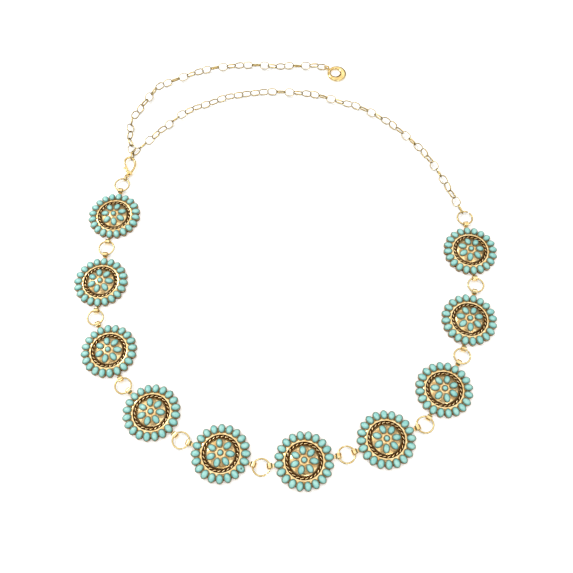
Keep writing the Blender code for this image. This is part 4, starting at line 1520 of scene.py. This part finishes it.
@dataclass
class Studio:
    """Pale floor, soft lights and the camera that sees the belt as photographed.

    Attributes:
        lens: Focal length on a 36 mm sensor.
        spot: Place of the camera, in metres.
        pitch: Angle of its view from straight down, towards +Y.
        roll: Turn of the frame about the view.
        glow: Brightness of the tent's cloth.
        dark: Brightness of its skirt and of the hole for the lens.
        skirt: Height at which the skirt starts to lighten, and where the cloth is fully lit.
        lens_hole: Angle from the lens at which the hole starts to lighten, and where it ends.
        fold_size: Size of the cloth's folds, on a room whose radius is 1.
        folds: Noise at which the cloth is darkest, and at which it is brightest.
        fold_light: How much light the darkest and the brightest fold let through.
    """

    lens: float = 44.7
    spot: tuple[float, float, float] = (-0.0008, -0.2569, 0.478)
    pitch: float = radians(25.07)
    roll: float = radians(-1.87)
    glow: float = 1.6
    dark: float = 0.07
    skirt: tuple[float, float] = (0.5, 0.68)
    lens_hole: tuple[float, float] = (radians(9), radians(14))
    fold_size: float = 1 / 1.7
    folds: tuple[float, float] = (0.3, 0.7)
    fold_light: tuple[float, float] = (0.8, 1.2)

    def camera(self) -> None:
        """Place the camera."""
        data = bpy.data.cameras.new("camera")
        data.lens = self.lens
        data.sensor_width = 36.0
        data.clip_start = 0.01
        item = bpy.data.objects.new("camera", data)
        way = Matrix.Rotation(self.pitch, 4, "X") @ about_z(self.roll)
        item.matrix_world = Matrix.Translation(self.spot) @ way
        bpy.context.scene.collection.objects.link(item)
        bpy.context.scene.camera = item

    def floor(self, paper: Material) -> None:
        """Lay the floor."""
        item = dress(added(bpy.ops.mesh.primitive_plane_add, "floor", size=6.0), paper)

    def light(self, name: str, place: tuple[float, float, float], size: tuple[float, float],
              power: float) -> None:
        """Hang one soft white light that faces the belt.

        Args:
            name: Name of the light.
            place: Its place, in metres.
            size: Its width and depth, in metres.
            power: Its power in watts.
        """
        data = bpy.data.lights.new(name, "AREA")
        data.shape = "RECTANGLE"
        data.size, data.size_y = size
        data.energy = power
        item = bpy.data.objects.new(name, data)
        item.location = place
        item.rotation_euler = (-Vector(place)).to_track_quat("-Z", "Y").to_euler()
        bpy.context.scene.collection.objects.link(item)

    def tent(self) -> None:
        """Set the white light tent over the belt, with its dark skirt and the dark hole for the lens."""
        world = bpy.data.worlds.new("light_tent")
        bpy.context.scene.world = world
        world.use_nodes = True
        tree = world.node_tree
        nodes = Nodes(tree, "Generated")
        height = add_node(tree, "ShaderNodeSeparateXYZ", {0: nodes.place}).outputs["Z"]
        to_lens = {0: nodes.place, 1: Vector(self.spot).normalized()}
        near_lens = add_node(tree, "ShaderNodeVectorMath", to_lens,
                             operation="DOT_PRODUCT").outputs["Value"]
        inner, outer = self.lens_hole
        hole = nodes.mapped(near_lens, cos(outer), cos(inner), 1.0, 0.0)
        open_sky = nodes.reckoned("MULTIPLY", nodes.mapped(height, *self.skirt), hole)
        fold = nodes.mapped(nodes.noise(self.fold_size, 1.0), *self.folds, *self.fold_light)
        cloth = nodes.reckoned("MULTIPLY", open_sky, fold)
        connect(tree, tree.nodes["Background"], {
            "Color": linear("fffdf8"),
            "Strength": nodes.mapped(cloth, 0.0, 1.0, self.dark, self.glow),
        })

    def build(self) -> None:
        """Build the camera, the floor, the lights and the room."""
        self.camera()
        self.floor(MattPaper().material())
        self.light("left_softbox", (-0.8, 0.5, 0.9), (0.3, 0.3), 5.0)
        self.light("front_strip", (0.3, -1.1, 0.5), (0.6, 0.08), 2.0)
        self.tent()
        bpy.context.scene.view_settings.view_transform = "Standard"


def write_sizes() -> None:
    """Bring the scene's placements up to date."""
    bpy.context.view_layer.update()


def main() -> None:
    """Build the studio and then the belt, piece by piece."""
    logging.basicConfig(level=logging.INFO, format="%(name)s: %(message)s")
    Studio().build()
    casting_gold = GoldPlating("antiqued_and_shaded_gold_on_zinc_casting").material()
    wire_gold = GoldPlating("gold_plated_brass_wire", "ecd8a0", "cfae68", "54401a", roughness=0.16,
                            cloud_mm=4.0, grain_mm=0.3, grain_height_mm=0.006).material()
    polished_gold = GoldPlating("polished_gold_on_zinc_casting", "ecd498", "d0ae68", "54401a",
                                roughness=0.12, cloud_mm=3.0, grain_height_mm=0.006).material()
    resin = TurquoiseResin("turquoise_resin_cabochon").material()
    row = ConchoRow()
    row.build(casting_gold, wire_gold, resin)
    loops = row.loops()
    clasp = LobsterClasp()
    hinge = clasp.build(loops[0], polished_gold)
    end_ring = EndRing()
    last_link = CableChain().build(clasp, hinge, loops[-1], end_ring.eye_level(), wire_gold)
    end_ring.build(last_link, polished_gold)
    write_sizes()


if __name__ == "__main__":
    main()
